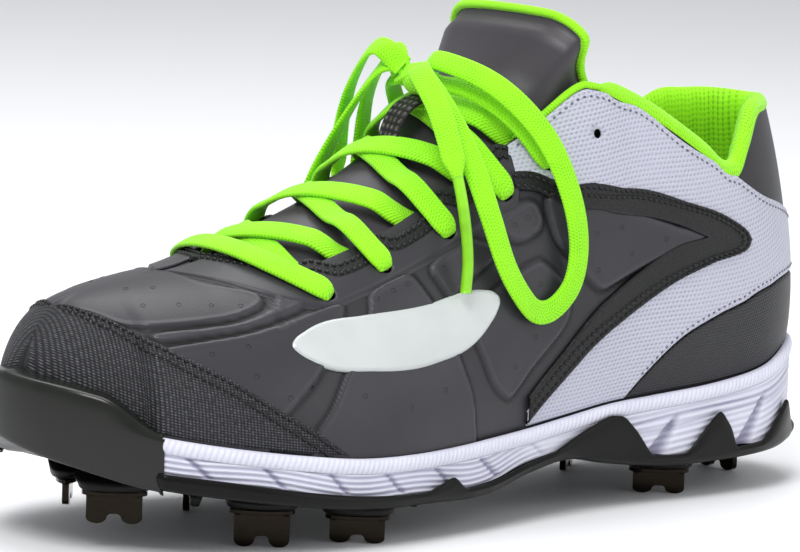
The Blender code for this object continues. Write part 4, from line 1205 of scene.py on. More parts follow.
def thread(name, colour):
    """Bonded nylon thread: slightly shiny strands twisted together."""
    material, tree, shader, place = start_material(name, 0.45, Specular_IOR_Level=0.4)
    # the strands are 0.7 mm across, coarser than real ones, so that they show
    strands = add_node(tree, "ShaderNodeTexNoise", {"Vector": place, "Scale": 1500.0,
                                                    "Detail": 2.0})
    colour_and_press(tree, shader, strands, ((0.3, shade(colour, 0.5)), (0.7, shade(colour, 1.6))),
                     strands, 0.0001, 0.6)
    return material


def colour_property(name, description, hex_colour):
    return FloatVectorProperty(name=name, description=description, subtype="COLOR", size=3,
                               min=0.0, max=1.0, default=linear(hex_colour))


class CleatColours(bpy.types.PropertyGroup):
    upper: colour_property("Upper", "Pressed microfibre of the vamp and quarter", "#302F33")
    rand: colour_property("Toe rand", "Woven cloth round the toe", "#1C1C1F")
    saddle: colour_property("Saddle", "Pale panel round the heel", "#BCBCCB")
    trim: colour_property("Trim", "Dark binding, frame and counter", "#121213")
    tongue: colour_property("Tongue", "Face of the tongue", "#3A363B")
    lime: colour_property("Lime", "Lace and collar lining", "#96EA18")
    midsole: colour_property("Midsole", "Foam of the midsole", "#D9D9E6")
    plate: colour_property("Plate", "Moulded plate under the shoe", "#0C0C0B")
    bumper: colour_property("Bumper", "Rubber cap of the toe", "#171915")
    steel: colour_property("Spikes", "Metal of the spikes", "#221E19")
    film: colour_property("Film", "Welded panel on the side", "#C6CBCA")


class CleatSizes(bpy.types.PropertyGroup):
    mesh_pitch: FloatProperty(name="Mesh pitch", description="Spacing of the upper's mesh",
                              default=0.85 * MM, min=0.5 * MM, max=4 * MM, subtype="DISTANCE")
    plate_raise: FloatProperty(name="Plate height", description="Height of the upper's plates",
                               default=0.9 * MM, min=0, max=2 * MM, subtype="DISTANCE")
    lace_width: FloatProperty(name="Lace width", description="Width of the flat lace",
                              default=7.1 * MM, min=3 * MM, max=12 * MM, subtype="DISTANCE")
    lace_height: FloatProperty(name="Lace thickness", description="Thickness of the flat lace",
                               default=2.0 * MM, min=0.5 * MM, max=4 * MM, subtype="DISTANCE")
    eyelet_radius: FloatProperty(name="Eyelet radius", description="Radius of the lace holes",
                                 default=2.3 * MM, min=1 * MM, max=4 * MM, subtype="DISTANCE")
    stitch_pitch: FloatProperty(name="Stitch pitch", description="From stitch to stitch",
                                default=2.3 * MM, min=1 * MM, max=5 * MM, subtype="DISTANCE")
    sole_steps: IntProperty(name="Sole steps", description="Columns of the sole's meshes",
                            default=720, min=80, max=900)


def sizes():
    """The sizes that the panel shows."""
    return bpy.context.scene.cleat_sizes


def colours():
    """The colours that the panel shows."""
    return bpy.context.scene.cleat_colours


def fine_phases(first, final, pitch):
    """Phases at even distances along the shoe between two shares, closer at its round ends."""
    start, stop = float(phase_of(first)), float(phase_of(final))
    dense = np.linspace(start, stop, 2000)
    line = outline(np.maximum(dense, 1e-7))
    lengths = distances(line)
    count = max(3, int(lengths[-1] / pitch))
    return np.interp(np.linspace(0, lengths[-1], count + 1), lengths, dense)


def throat_edge(phase):
    """Inner edge of the band round the throat: a tab inwards at each lace hole, dips between."""
    phase = np.atleast_1d(phase)
    holes = phase_of([row[0] for row in EYELETS])
    near = np.abs(phase[:, None] - holes).min(axis=1)
    wave = 0.5 + 0.5 * np.cos(math.pi * np.minimum(1, near / 0.019))
    front = ease((share_of(phase) - 0.72) / 0.03)
    edge = opening(phase) + (0.048 * wave - 0.030) * (1 - front) + 0.012 * front
    return np.minimum(1, np.where(share_of(phase) >= THROAT_FRONT, 1.0, edge))


def throat_band():
    """Flat edges of the stitched band: its throat side and its outer side."""
    count, away, width = 520, 24, 5.6
    phases = fine_phases(BAND_BACK, THROAT_FRONT, 0.8 * MM)
    climbs = throat_edge(phases)
    climbs[-1] = 1.0
    inner = even_line_count(flat(phases, climbs[:, None])[:, 0], count)
    # the way the band faces is evened out, so that its width holds round the dips
    beyond = inner[-1:] + np.arange(1, away + 1)[:, None] * (0, 0.6)
    padded = np.concatenate([np.repeat(inner[:1], away, 0), inner, beyond])
    along = unit(padded[2 * away :] - padded[: -2 * away])
    down = np.stack([along[:, 1], -along[:, 0]], axis=-1)
    down[-1] = (1.0, 0.0)
    outer = inner + down * width
    outer[-1, 1] = inner[-1, 1]
    blend = ease((np.arange(count) - 480) / 39)[:, None]
    outer[:, 1:] = outer[:, 1:] * (1 - blend) + np.minimum(
        outer[:, 1:], np.interp(outer[:, 0], inner[:, 0], inner[:, 1])[:, None]) * blend
    return [outer, inner]


# Pieces


class CleatOperator:
    bl_options = {"REGISTER", "UNDO"}


def plate_relief(phases, climbs):
    """Lift of the moulded plates, and a tone of painted shade and highlight, with 0 in a groove."""
    laid = flat(phases, climbs)
    lift = np.zeros(climbs.shape)
    tone = np.full(climbs.shape, 0.42)
    for polygon in PLATES:
        corners = rounded(polygon)
        girth = np.interp(phase_of(np.clip(corners[:, 0], 0, 1)), GIRTH_PHASES, GIRTHS)
        shape = np.stack([corners[:, 0] * LENGTH, corners[:, 1] * girth], axis=-1) / MM
        inside = edge_distance(laid, shape)
        raised = ease((inside + 0.15) / 0.6)
        bead = np.exp(-((inside - 1.2) / 0.55) ** 2)
        groove = np.exp(-((inside + 0.75) / 0.6) ** 2)
        lift = np.maximum(lift, (raised + 0.25 * bead) * sizes().plate_raise) - 0.6 * MM * groove
        # the tone is a painted highlight on the plates and their beads, and painted shade in the
        # grooves
        tone = tone + 0.10 * raised + 0.18 * bead - 0.42 * groove
    return lift, np.clip(tone, 0, 1)


class CLEAT_OT_upper(CleatOperator, bpy.types.Operator):
    """Upper with its raised plates and pin holes"""

    bl_idname = "cleat.add_upper"
    bl_label = "Upper"

    def execute(self, context):
        tint = colours()
        phases = fine_phases(0, 1, sizes().mesh_pitch)
        climbs = np.linspace(0, 1, 112)[None] * open_edge(phases)[:, None]
        # tone carries painted shade in the plates' grooves and a painted highlight on the plates and
        # beads
        lift, tone = plate_relief(phases, climbs)
        points, faces, flats = on_both_sides(phases, climbs, lift)
        holes = eyelet_places(EYELETS[:LACED], 0.0)
        spare = eyelet_places(EYELETS[LACED:], 0.0)
        points, faces = punch(points, faces, holes, sizes().eyelet_radius)
        points, faces = punch(points, faces, spare, sizes().eyelet_radius * 0.75)
        piece("upper_skin", points, faces, flats, microfibre("pressed_microfibre", tint.upper[:]),
              "upper_leather", ("upper",), np.tile(tone.ravel(), 2))

        # the inside is a plain cloth lining, at a coarser pitch
        coarse = fine_phases(0, 1, 3 * MM)
        climbs = np.linspace(0, 1, 36)[None] * open_edge(coarse)[:, None]
        points, faces, flats = on_both_sides(coarse, climbs, np.full(climbs.shape, -1.4 * MM))
        points, faces = punch(points, faces, holes, sizes().eyelet_radius)
        piece("upper_lining", points, faces[:, ::-1], flats,
              woven("woven_lining", shade(tint.trim[:], 0.8), shade(tint.trim[:], 1.6),
                    1.2, 1.2, 0.85, 0.0002), "upper_leather")

        # each pin hole is a small sunk cup coloured near black: the dark is painted shade inside the
        # hole
        rim, depth, corners = 0.75 * MM, 0.35 * MM, 12
        verts, sides = [], []
        for share, climb in PINHOLES:
            phase = phase_of([share])
            height = plate_relief(phase, np.array([[climb]]))[0]
            for side in (1, -1):
                spot, out = point_on(side * phase[0], climb, height[0, 0] + 0.08 * MM)
                right = unit(np.cross(out, (0.0, 0.0, 1.0)))
                up = np.cross(out, right)
                base = len(verts)
                for radius, sink in ((1.0, 0.0), (0.8, 0.4), (0.45, 1.0)):
                    for angle in np.arange(corners) * math.tau / corners:
                        verts.append(spot + (right * math.cos(angle) + up * math.sin(angle))
                                     * radius * rim - out * sink * depth)
                sides += ring_faces(base, 3, corners)
                sides.append(tuple(base + 2 * corners + k for k in range(corners)))
        piece("pin_holes", verts, sides, None, moulded("painted_pinhole_shade", linear("#0A0A0B"), 0.8),
              "upper_leather")
        return {"FINISHED"}


def frame_edges():
    """Flat edges of the dark frame on the quarter: a wedge on its side with a round tip."""

    def upon(shares, climbs):
        return np.stack([shares, climbs], axis=-1)

    def wedge(shares):
        return quarter[1](phase_of(shares)), quarter[2](phase_of(shares))

    shares = np.linspace(QUARTER_FRONT, 0.165, 14)
    low, high = wedge(shares)
    tip = ((0.1385, 0.3085), (0.1295, 0.327), (0.1385, 0.3455))
    outer = (np.vstack([upon(shares, low), tip[:2]]), np.vstack([tip[1:], upon(shares, high)[::-1]]))
    shares = np.linspace(QUARTER_FRONT, 0.240, 10)
    low, high = wedge(shares)
    middle = (low + high) / 2
    nose = (0.206, float(sum(wedge(0.206)) / 2))
    inner = (np.vstack([upon(shares, np.minimum(low + 0.062, middle - 0.006)), nose]),
             np.vstack([nose, upon(shares, np.maximum(high - 0.045, middle + 0.006))[::-1]]))
    return strip_edges((outer, inner), (150, 150))


class CLEAT_OT_overlays(CleatOperator, bpy.types.Operator):
    """Toe rand, saddle, frame of the quarter, heel counter and side panel"""

    bl_idname = "cleat.add_overlays"
    bl_label = "Overlays"

    def execute(self, context):
        pitch = 1.3 * MM
        tint = colours()

        def panel(name, phases, low, high, count, height, material, slot, replaces, width=ROLL):
            climbs = rows_between(low, high, count)
            patch = on_both_sides(phases, climbs, rolled(phases, climbs, height, width))
            thicken(piece(name, *patch, material, slot, replaces), LAYER)

        phases = fine_phases(RAND_EDGE[0][0], 1, pitch)
        panel("toe_rand", phases, foot_climb(phases), rand_edge(phases), 44, RAND_LIFT,
              woven("ballistic_nylon", tint.rand[:], linear("#66666C"), 0.95, 0.8, 0.5, 0.0003,
                    0.62), "rand_mesh", ("toe_rand",))

        pale = pressed_rows("pressed_synthetic", tint.saddle[:], shade(tint.saddle[:], 0.5), 1.25,
                            0.42)
        phases = fine_phases(0, QUARTER_FRONT, pitch)
        low = np.maximum(quarter[0](phases), foot_climb(phases))
        frame_low, frame_high = quarter[1](phases), quarter[2](phases)
        middle = (frame_low + frame_high) / 2
        # behind the frame's tip the saddle is whole, and under the frame it runs on a little
        behind = ease((share_of(phases) - 0.146) / 0.03)
        lap = 0.028 * behind
        high = saddle_top(phases)
        holes = eyelet_places(EYELETS[LACED - 1 : LACED])
        spare = eyelet_places(EYELETS[LACED:])
        whole = share_of(phases) < 0.150
        below = np.where(whole, middle, np.minimum(frame_low + lap, middle))
        above = np.where(whole, middle, np.maximum(frame_high - lap, middle))

        def saddle(name, bottom, top, open_end, replaces):
            climbs = rows_between(bottom, top, 34)
            spots = flat(phases, climbs)[..., 1] * MM
            from_low = spots - spots[:, :1]
            from_high = spots[:, -1:] - spots
            joined_here = np.where(whole, 1.0, 0.0)[:, None]
            near = np.minimum(from_low + (joined_here if open_end == "low" else 0),
                              from_high + (joined_here if open_end == "high" else 0))
            lift = roll_down(near, SADDLE_LIFT, ROLL)
            points, faces, flats = on_both_sides(phases, climbs, lift)
            points, faces = punch(points, faces, holes, sizes().eyelet_radius)
            points, faces = punch(points, faces, spare, sizes().eyelet_radius * 0.65)
            thicken(piece(name, points, faces, flats, pale, "saddle_leather", replaces), LAYER)

        saddle("saddle_lower", low, below, "high", ("saddle",))
        saddle("saddle_upper", above, high, "low", ())

        dark = grained("embossed_synthetic", tint.trim[:], 0.8, 0.45, 0.0002)
        thicken(piece("quarter_frame", *flat_strip(frame_edges(), 16, FRAME_LIFT, True), dark,
                      "frame_leather", ("quarter_frame_outer", "quarter_frame_inner")), LAYER)

        phases = fine_phases(0, 0.33, pitch)
        foot = foot_climb(phases)
        panel("heel_counter", phases, foot, np.maximum(foot + 0.004, quarter[0](phases) - 0.003), 26,
              COUNTER_LIFT, pressed_rows("ribbed_synthetic", linear("#29292C"), linear("#0C0C0D"),
                                         0.9, 0.42), "counter_leather", ("heel_counter",))

        back, front = SIDE_PANEL[0][0], SIDE_PANEL[-1][0]
        phases = fine_phases(back, front, 0.8 * MM)
        share = share_of(phases)
        low, high = panel_low(phases), panel_high(phases)
        middle = (low + high) / 2
        # both ends close in a half circle
        near_end = np.clip(np.minimum(share - back, front - share) / 0.012, 0, 1)
        round_end = np.sqrt(1 - (1 - near_end) ** 2)
        panel("side_panel", phases, middle + (low - middle) * round_end - 0.0005,
              middle + (high - middle) * round_end + 0.0005, 34, PANEL_LIFT,
              welded_film("polyurethane_film", tint.film[:]), "panel_film",
              ("side_panel_outer", "side_panel_inner"), 1.3 * MM)
        return {"FINISHED"}


class CLEAT_OT_throat(CleatOperator, bpy.types.Operator):
    """Stitched band round the throat and the smooth stay with the lace holes"""

    bl_idname = "cleat.add_throat"
    bl_label = "Throat"

    def execute(self, context):
        holes = eyelet_places(EYELETS[: LACED - 1])
        points, faces, flats = flat_strip(throat_band(), 12, BAND_LIFT, False, 0.8 * MM)
        points, faces = punch(points, faces, holes, sizes().eyelet_radius * 1.1)
        band = piece("throat_band", points, faces, flats,
                     grained("turned_edge_synthetic", colours().trim[:], 0.6, 0.5, 0.0002),
                     "frame_leather", ("eyestay",))
        thicken(band, 0.6 * MM)

        # the stay narrows from the first hole to its front end on the ridge
        first_hole, front = 0.70, 0.845
        phases = fine_phases(BAND_BACK, front, 0.7 * MM)
        ahead = np.maximum(0, (share_of(phases) - first_hole) / (front - first_hole))
        outer = np.minimum(0.520 + 0.47 * ahead**1.7, 0.994)
        high = np.maximum(outer + 0.006, throat_edge(phases) - 0.02)
        climbs = rows_between(outer - 0.004, high, 30)
        fade = ease((climbs - outer[:, None]) / 0.02)
        lift = rolled(phases, climbs, 1.0 * MM, 1.0 * MM) * fade + 0.10 * MM
        points, faces, flats = on_both_sides(phases, climbs, lift)
        points, faces = punch(points, faces, holes, sizes().eyelet_radius)
        stay = piece("eyestay_skin", points, faces, flats, bpy.data.materials["pressed_microfibre"],
                     "eyestay_leather", relief=np.full(len(points), 0.55))
        thicken(stay, 0.8 * MM)
        return {"FINISHED"}


class CLEAT_OT_sewing(CleatOperator, bpy.types.Operator):
    """Rows of stitches along the edges of the panels"""

    bl_idname = "cleat.add_sewing"
    bl_label = "Sewing"

    def execute(self, context):
        dark = thread("bonded_nylon_black", linear("#0E0E10"))
        grey = thread("bonded_nylon_grey", linear("#60606C"))
        frame_lines, band_lines = frame_edges(), throat_band()
        rows, pale_rows, step = [], [], 1.2 * MM
        for side in (1, -1):
            shares = share_of(fine_phases(0.735, RAND_EDGE[-1][0], step))
            for inset in (1.7, 5.0):
                rows.append(seam(shares, rand_edge(phase_of(shares)), RAND_LIFT, side, inset))
            for inset in (1.7, 4.6):
                rows.append(strip_seam(frame_lines, inset, FRAME_LIFT, side))
            for inset in (1.3, 4.2):
                rows.append(strip_seam(band_lines, inset, BAND_LIFT, side))
            shares = share_of(fine_phases(0.0, 0.452, step))
            high = saddle_top(phase_of(shares))
            pale_rows.append(seam(shares, high, SADDLE_LIFT, side, 2.0))
            shares = share_of(fine_phases(0.0, 0.30, step))
            pale_rows.append(seam(shares, quarter[0](phase_of(shares)), SADDLE_LIFT, side, -1.6))
        pitch = sizes().stitch_pitch
        stitches("dark_stitches", rows, dark, "frame_leather", pitch, pitch * 0.74, 0.58 * MM)
        stitches("grey_stitches", pale_rows, grey, "saddle_leather", pitch * 1.05, pitch * 0.5,
                 0.32 * MM)
        return {"FINISHED"}


class CLEAT_OT_tongue(CleatOperator, bpy.types.Operator):
    """Padded tongue with its lime lining and the webbing keeper"""

    bl_idname = "cleat.add_tongue"
    bl_label = "Tongue"

    def execute(self, context):
        tint = colours()
        rows = np.linspace(0.50, 1.0, 44)
        along = np.linspace(0, 1, 120)
        front = 0.825
        back = TONGUE_TOP + (TONGUE_FLANK - TONGUE_TOP) * np.minimum(1, (1 - rows) / 0.42) ** 1.8
        share = back[None] + (front - back[None]) * along[:, None]
        # the upper end stands away from the ankle on both flanks
        near_back = np.interp(along, (0, 1 / 11, 2 / 11), (1, 0.35, 0))[:, None]
        stand = ease((rows - 0.60) / 0.15) * ease((1 - rows) / 0.12)

        def surface(side, depth):
            points = np.empty((*share.shape, 3))
            outs = np.empty_like(points)
            for j, climb in enumerate(rows):
                points[:, j], outs[:, j] = skin(side * phase_of(share[:, j]),
                                                np.full(len(share), climb), np.zeros(len(share)))
            points = points - outs * depth[..., None]
            points[..., 1] += side * near_back * stand[None] * TONGUE_FLARE[side]
            return points

        pad = 0.45 + 0.55 * ease((0.56 - share) / 0.12)
        ramp_up = ease(along[:, None] / 0.05)
        flank = ease((0.80 - rows[None]) / 0.2)
        clear = WALL + 1.35 * MM * (1 + 0.7 * ease((share - 0.71) / 0.04)) + 0.9 * MM * flank * (
            ease((share - 0.44) / 0.03))
        thick = 8 * MM * pad * (0.45 + 0.55 * np.sqrt(1 - (1 - ramp_up) ** 2))
        quilt = 0.5 * MM * ease((share - 0.45) / 0.05) * np.sin(share * LENGTH / MM / 9) ** 2
        middle = clear + thick * 0.5
        edge_in = ease(along / 0.035)[:, None]
        outer_depth = clear * edge_in + middle * (1 - edge_in) + quilt * 0.6
        inner_depth = (clear + thick) * edge_in + middle * (1 - edge_in)
        face = microfibre("brushed_microfibre", tint.tongue[:])
        inside = knit("tongue_spacer_mesh", shade(tint.lime[:], 0.35), tint.lime[:], 1.3, 0.7)
        for name, depth, material, slot, outside in (
            ("tongue_face", outer_depth, face, "tongue_fabric", True),
            ("tongue_lining", inner_depth, inside, "lining_mesh", False),
        ):
            def sheet(side):
                upward = np.broadcast_to(rows * 90 * side, share.shape)
                return surface(side, depth), np.stack([share * LENGTH / MM, upward], axis=-1)

            made = piece(name, *both_sides(sheet, not outside), material, slot,
                         ("tongue",) if outside else (),
                         np.full(2 * share.size, 0.5) if outside else None)

        # lime piping where the face and the lining meet
        edge = [surface(side, middle)[0] for side in (1, -1)]
        line = even_line(np.vstack([edge[0], edge[1][::-1][1:]]), 1.5 * MM, smoothly=False)
        outs = np.tile((-0.6, 0.0, 0.8), (len(line), 1))
        piece("tongue_piping", *ribbon(line, outs, 2.6 * MM, 2.6 * MM, 10),
              knit("piping_mesh", shade(tint.lime[:], 0.5), tint.lime[:], 1.0, 0.7),
              "lining_mesh")

        # webbing keeper: a strap along the tongue that arches over the lace
        places = np.linspace(0, 1, 15)
        spots, outs = skin(phase_of(0.548 - 0.066 * places), np.full(15, 0.965),
                           (-2.2 + 6.4 * np.sin(math.pi * places) ** 0.8) * MM)
        line = even_line(np.hstack([spots, outs]), 0.8 * MM)
        piece("keeper_loop", *ribbon(line[:, :3], line[:, 3:], 8.8 * MM, 1.3 * MM),
              woven("nylon_webbing", shade(tint.trim[:], 0.7), linear("#6A675E"), 2.4, 2.2, 0.6,
                    0.0004), "loop_webbing", ("tongue_loop",))
        return {"FINISHED"}


def across_throat(share, climb, side, height):
    """Point and direction out over the throat. side runs from 1 at an outer lace hole to -1."""
    phase = float(phase_of(share))
    turn = phase if side >= 0 else -phase
    up = 1 - (1 - climb) * abs(side)
    turns, climbs = np.array([turn]), np.array([[up]])
    out = facing(turns, climbs)[0, 0]
    other = facing(-turns, climbs)[0, 0]
    blend = 0.5 * max(0.0, 1 - abs(side) / 0.12)
    out = unit(out * (1 - blend) + other * blend)
    return curve_at(sections(turns), climbs)[0, 0] + out * height + ORIGIN, out


class CLEAT_OT_collar(CleatOperator, bpy.types.Operator):
    """Padded lime lining of the collar, with the roll that shows over its edge"""

    bl_idname = "cleat.add_collar"
    bl_label = "Collar lining"

    def execute(self, context):
        tint = colours()
        phases = fine_phases(0, 0.366, 1.1 * MM)
        share = share_of(phases)
        high = opening(phases)
        # section of the pad: climb from its lower edge to the roll over the top, and its depth
        profile = np.array((
            (-0.240, -2.6), (-0.225, -4.2), (-0.190, -6.0), (-0.150, -7.0), (-0.110, -7.5),
            (-0.070, -7.6), (-0.035, -7.2), (-0.008, -6.2), (0.010, -4.8), (0.020, -3.2),
            (0.024, -1.8), (0.020, -0.5), (0.010, 0.4), (-0.002, 0.7), (-0.010, 0.3),
        ))
        profile = even_line(profile * (300, 1), 1.4) / (300, 1)
        # the pad thins out to nothing where the throat starts
        fade = 1 - ease((share - 0.315) / 0.050)[:, None]
        climbs = high[:, None] + profile[None, :, 0] * (0.12 + 0.88 * fade)
        depth = np.broadcast_to(profile[None, :, 1], climbs.shape).copy()
        along = share * LENGTH / MM
        ripple = 0.35 * np.sin(along * math.tau / 4.4)[:, None] * ease((-depth - 2) / 4)
        depth = depth * (0.15 + 0.85 * fade) + ripple * fade
        climbs = np.minimum(climbs, 0.985)

        def sheet(side):
            points = skin(side * np.maximum(phases, 1e-6), climbs, depth * MM)[0]
            lengths = np.linalg.norm(np.diff(points, axis=1), axis=2).cumsum(axis=1)
            lengths = np.concatenate([np.zeros((len(phases), 1)), lengths], axis=1) / MM
            forward = np.broadcast_to(along[:, None], climbs.shape)
            return points, np.stack([forward, lengths], axis=-1)

        made = piece("collar_lining", *both_sides(sheet, True),
                     knit("collar_spacer_mesh", shade(tint.lime[:], 0.32), tint.lime[:], 1.1, 0.72),
                     "lining_mesh", ("collar_pad",))

        # lime binding goes on along the throat's edge from the end of the pad
        shares = np.linspace(0.325, 0.450, 40)
        thin = 1.1 * MM * np.sqrt(1 - np.clip(np.abs(np.linspace(-1, 1, 40)), 0, 0.98) ** 8)
        parts = []
        for side in (1, -1):
            spots, outs = skin(side * phase_of(shares), opening(phase_of(shares)) + 0.004,
                               np.full(40, -0.5 * MM))
            line = even_line(np.hstack([spots, outs, thin[:, None]]), 1.0 * MM, smoothly=False)
            parts.append(ribbon(line[:, :3], line[:, 3:6], line[:, 6] * 2, line[:, 6] * 2, 10))
        piece("throat_binding", *joined(parts), bpy.data.materials["piping_mesh"], "lining_mesh")
        return {"FINISHED"}


def lace_paths():
    """Every fixed run of the lace as points, directions, widths and thicknesses."""
    wide, high = sizes().lace_width, sizes().lace_height
    on_stay = 2.3 * MM
    runs = {}

    def run(stations):
        data = np.array([[*p, *o, w, h] for (p, o), w, h in stations])
        return even_line(data, 1.1 * MM)

    def mouth(share, climb, side):
        """The lace coming up out of a hole."""
        return [(across_throat(share, climb, side, depth * MM), wide * w, high * h)
                for depth, w, h in ((-4.5, 0.58, 1.5), (-1.5, 0.62, 1.5), (1.2, 0.72, 1.35))]

    share, climb = EYELETS[0]
    stations = mouth(share, climb, 1.0)
    for place in np.linspace(0.94, -0.94, 17):
        dip = ease(1 - abs(place))
        bow = 0.055 * (1 - place * place)
        stations.append((across_throat(share + bow, climb, place, on_stay + dip * 0.9 * MM),
                         wide, high))
    stations += mouth(share, climb, -1.0)[::-1]
    runs["lace_front"] = [run(stations)]

    for low in range(LACED - 1):
        (share_a, climb_a), (share_b, climb_b) = EYELETS[low], EYELETS[low + 1]
        pair = []
        for side in (1, -1):
            lift = 0.0 if side > 0 else 1.7 * MM
            from_top = low > 0
            stations = mouth(share_a, climb_a, side) if from_top else []
            first = 0.94 if from_top else 0.62
            for place in np.linspace(first, -0.93, 20):
                u = (1 - place) / 2
                share = share_a + (share_b - share_a) * u + 0.050 * (1 - place * place)
                climb = climb_a + (climb_b - climb_a) * u
                rise = ease((place - 0.38) / 0.24) if from_top else 0.0
                sunk = (1.0 if from_top else 1.6) * MM
                height = lift - sunk + (on_stay + sunk - lift) * rise
                tuck = ease((-place - 0.50) / 0.24)
                height = height * (1 - tuck) + (-3.1 * MM) * tuck
                if not from_top:
                    start = ease((place - 0.30) / 0.25)
                    height = height * (1 - start) + (-2.6 * MM) * start
                stations.append((across_throat(share, climb, side * place, height), wide, high))
            pair.append(run(stations))
        runs[f"lace_cross_{low + 1}"] = pair

    share, climb = EYELETS[LACED - 1]
    for side, word in ((1, "outer"), (-1, "inner")):
        stations = mouth(share, climb, side)
        for k in range(9):
            place = 0.94 - 0.86 * k / 8
            rise = ease((1 - place) / 0.8)
            stations.append((
                across_throat(share + (KNOT_SHARE - share) * min(1, (1 - place) / 0.8), climb,
                              side * place, on_stay + 3.6 * MM * rise),
                wide * (1 - 0.25 * rise), high * (1 + 0.2 * rise),
            ))
        runs[f"lace_tie_{word}"] = [run(stations)]
    return runs


class CLEAT_OT_laces(CleatOperator, bpy.types.Operator):
    """Flat lace through the holes, up to the knot"""

    bl_idname = "cleat.add_laces"
    bl_label = "Lace"

    def execute(self, context):
        material = braid("polyester_braid", colours().lime[:], linear("#4FB80F"))
        for name, runs in lace_paths().items():
            parts = [ribbon(r[:, :3], r[:, 3:6], r[:, 6], r[:, 7]) for r in runs]
            piece(name + "_braid", *joined(parts), material, "lace_fabric", (name,))
        return {"FINISHED"}


def free_route(rows):
    """Points and directions of a free run of lace."""
    shares, sides, climbs, lifts = np.array(rows, float).T
    points, outs = skin(sides * phase_of(shares), climbs, lifts * MM)
    return np.hstack([points, outs])


class CLEAT_OT_bow(CleatOperator, bpy.types.Operator):
    """Knot, hanging loops and free ends of the lace"""

    bl_idname = "cleat.add_bow"
    bl_label = "Bow"

    def execute(self, context):
        wide, high = sizes().lace_width * 0.93, sizes().lace_height
        material = bpy.data.materials["polyester_braid"]
        centre, out = point_on(float(phase_of(KNOT_SHARE)), 1.0, 4.8 * MM)
        side = np.array((0.0, 1.0, 0.0))
        along = unit(np.cross(side, out))

        # the turn of lace that holds the knot
        angles = np.linspace(-0.9 * math.pi, 1.15 * math.pi, 44)
        radial = out[None] * np.cos(angles)[:, None] + along[None] * np.sin(angles)[:, None]
        spots = centre + radial * np.linspace(3.2, 4.6, 44)[:, None] * MM
        spots += side * np.linspace(-1.6, 1.6, 44)[:, None] * MM
        wrap_part = ribbon(spots, radial, 6.0 * MM, high)
        core = np.array([centre + side * y * MM + out * (0.6 * math.cos(y / 3)) * MM
                         for y in np.linspace(-7.5, 7.5, 20)])
        core_part = ribbon(core, np.tile(out, (20, 1)), 5.4 * MM, 3.6 * MM)
        second = np.array([
            centre + side * (y * 0.9) * MM + out * (2.6 + 0.9 * math.cos(y / 3)) * MM
            - along * (2.2 * math.sin(y / 5)) * MM for y in np.linspace(-6.5, 6.5, 20)
        ])
        second_part = ribbon(second, np.tile(out, (20, 1)), 5.2 * MM, 2.2 * MM)
        piece("lace_knot_braid", *joined([wrap_part, core_part, second_part]), material,
              "lace_fabric", ("lace_knot",))

        aglet = moulded("lace_tip_acetate", shade(colours().lime[:], 0.75), 0.35, 0.3)
        for word, rows, number in (("outer", LOOP_OUTER, 1), ("inner", LOOP_INNER, -1)):
            route = free_route(rows)
            first = centre + side * number * 4.5 * MM + out * 3.0 * MM
            start = np.concatenate([first - along * 1.5 * MM, out])
            finish = np.concatenate([first + along * 1.5 * MM, out])
            route = even_line(np.vstack([start, route, finish]), 1.3 * MM)
            made = piece(f"lace_loop_{word}_braid", *ribbon(route[:, :3], route[:, 3:], wide, high),
                         material, "lace_fabric", (f"lace_loop_{word}",))
        for word, rows, number in (("outer", END_OUTER, 1), ("inner", END_INNER, -1)):
            route = free_route(rows)
            first = centre + side * number * 4.0 * MM + out * 4.6 * MM
            route = even_line(np.vstack([np.concatenate([first, out]), route]), 1.2 * MM)
            total = len(route)
            cut = int(total * (0.60 if word == "outer" else 0.72))
            taper = 1 - ease((np.arange(total) - (cut - 5)) / 6)
            widths = 2.9 * MM + (wide - 2.9 * MM) * taper
            heights = 2.7 * MM + (high - 2.7 * MM) * taper
            body = route[: cut + 3]
            made = piece(f"lace_end_{word}_braid",
                         *ribbon(body[:, :3], body[:, 3:], widths[: cut + 3], heights[: cut + 3]),
                         material, "lace_fabric", (f"lace_end_{word}",))
            tip = piece(f"lace_tip_{word}",
                        *ribbon(route[cut:, :3], route[cut:, 3:], 3.0 * MM, 2.8 * MM, 14),
                        aglet, "lace_fabric")
        return {"FINISHED"}


def sole_turns(count):
    """Even turns round the sole that start at the heel."""
    return (np.arange(count) / count * 2 + 1e-7 + 1) % 2 - 1


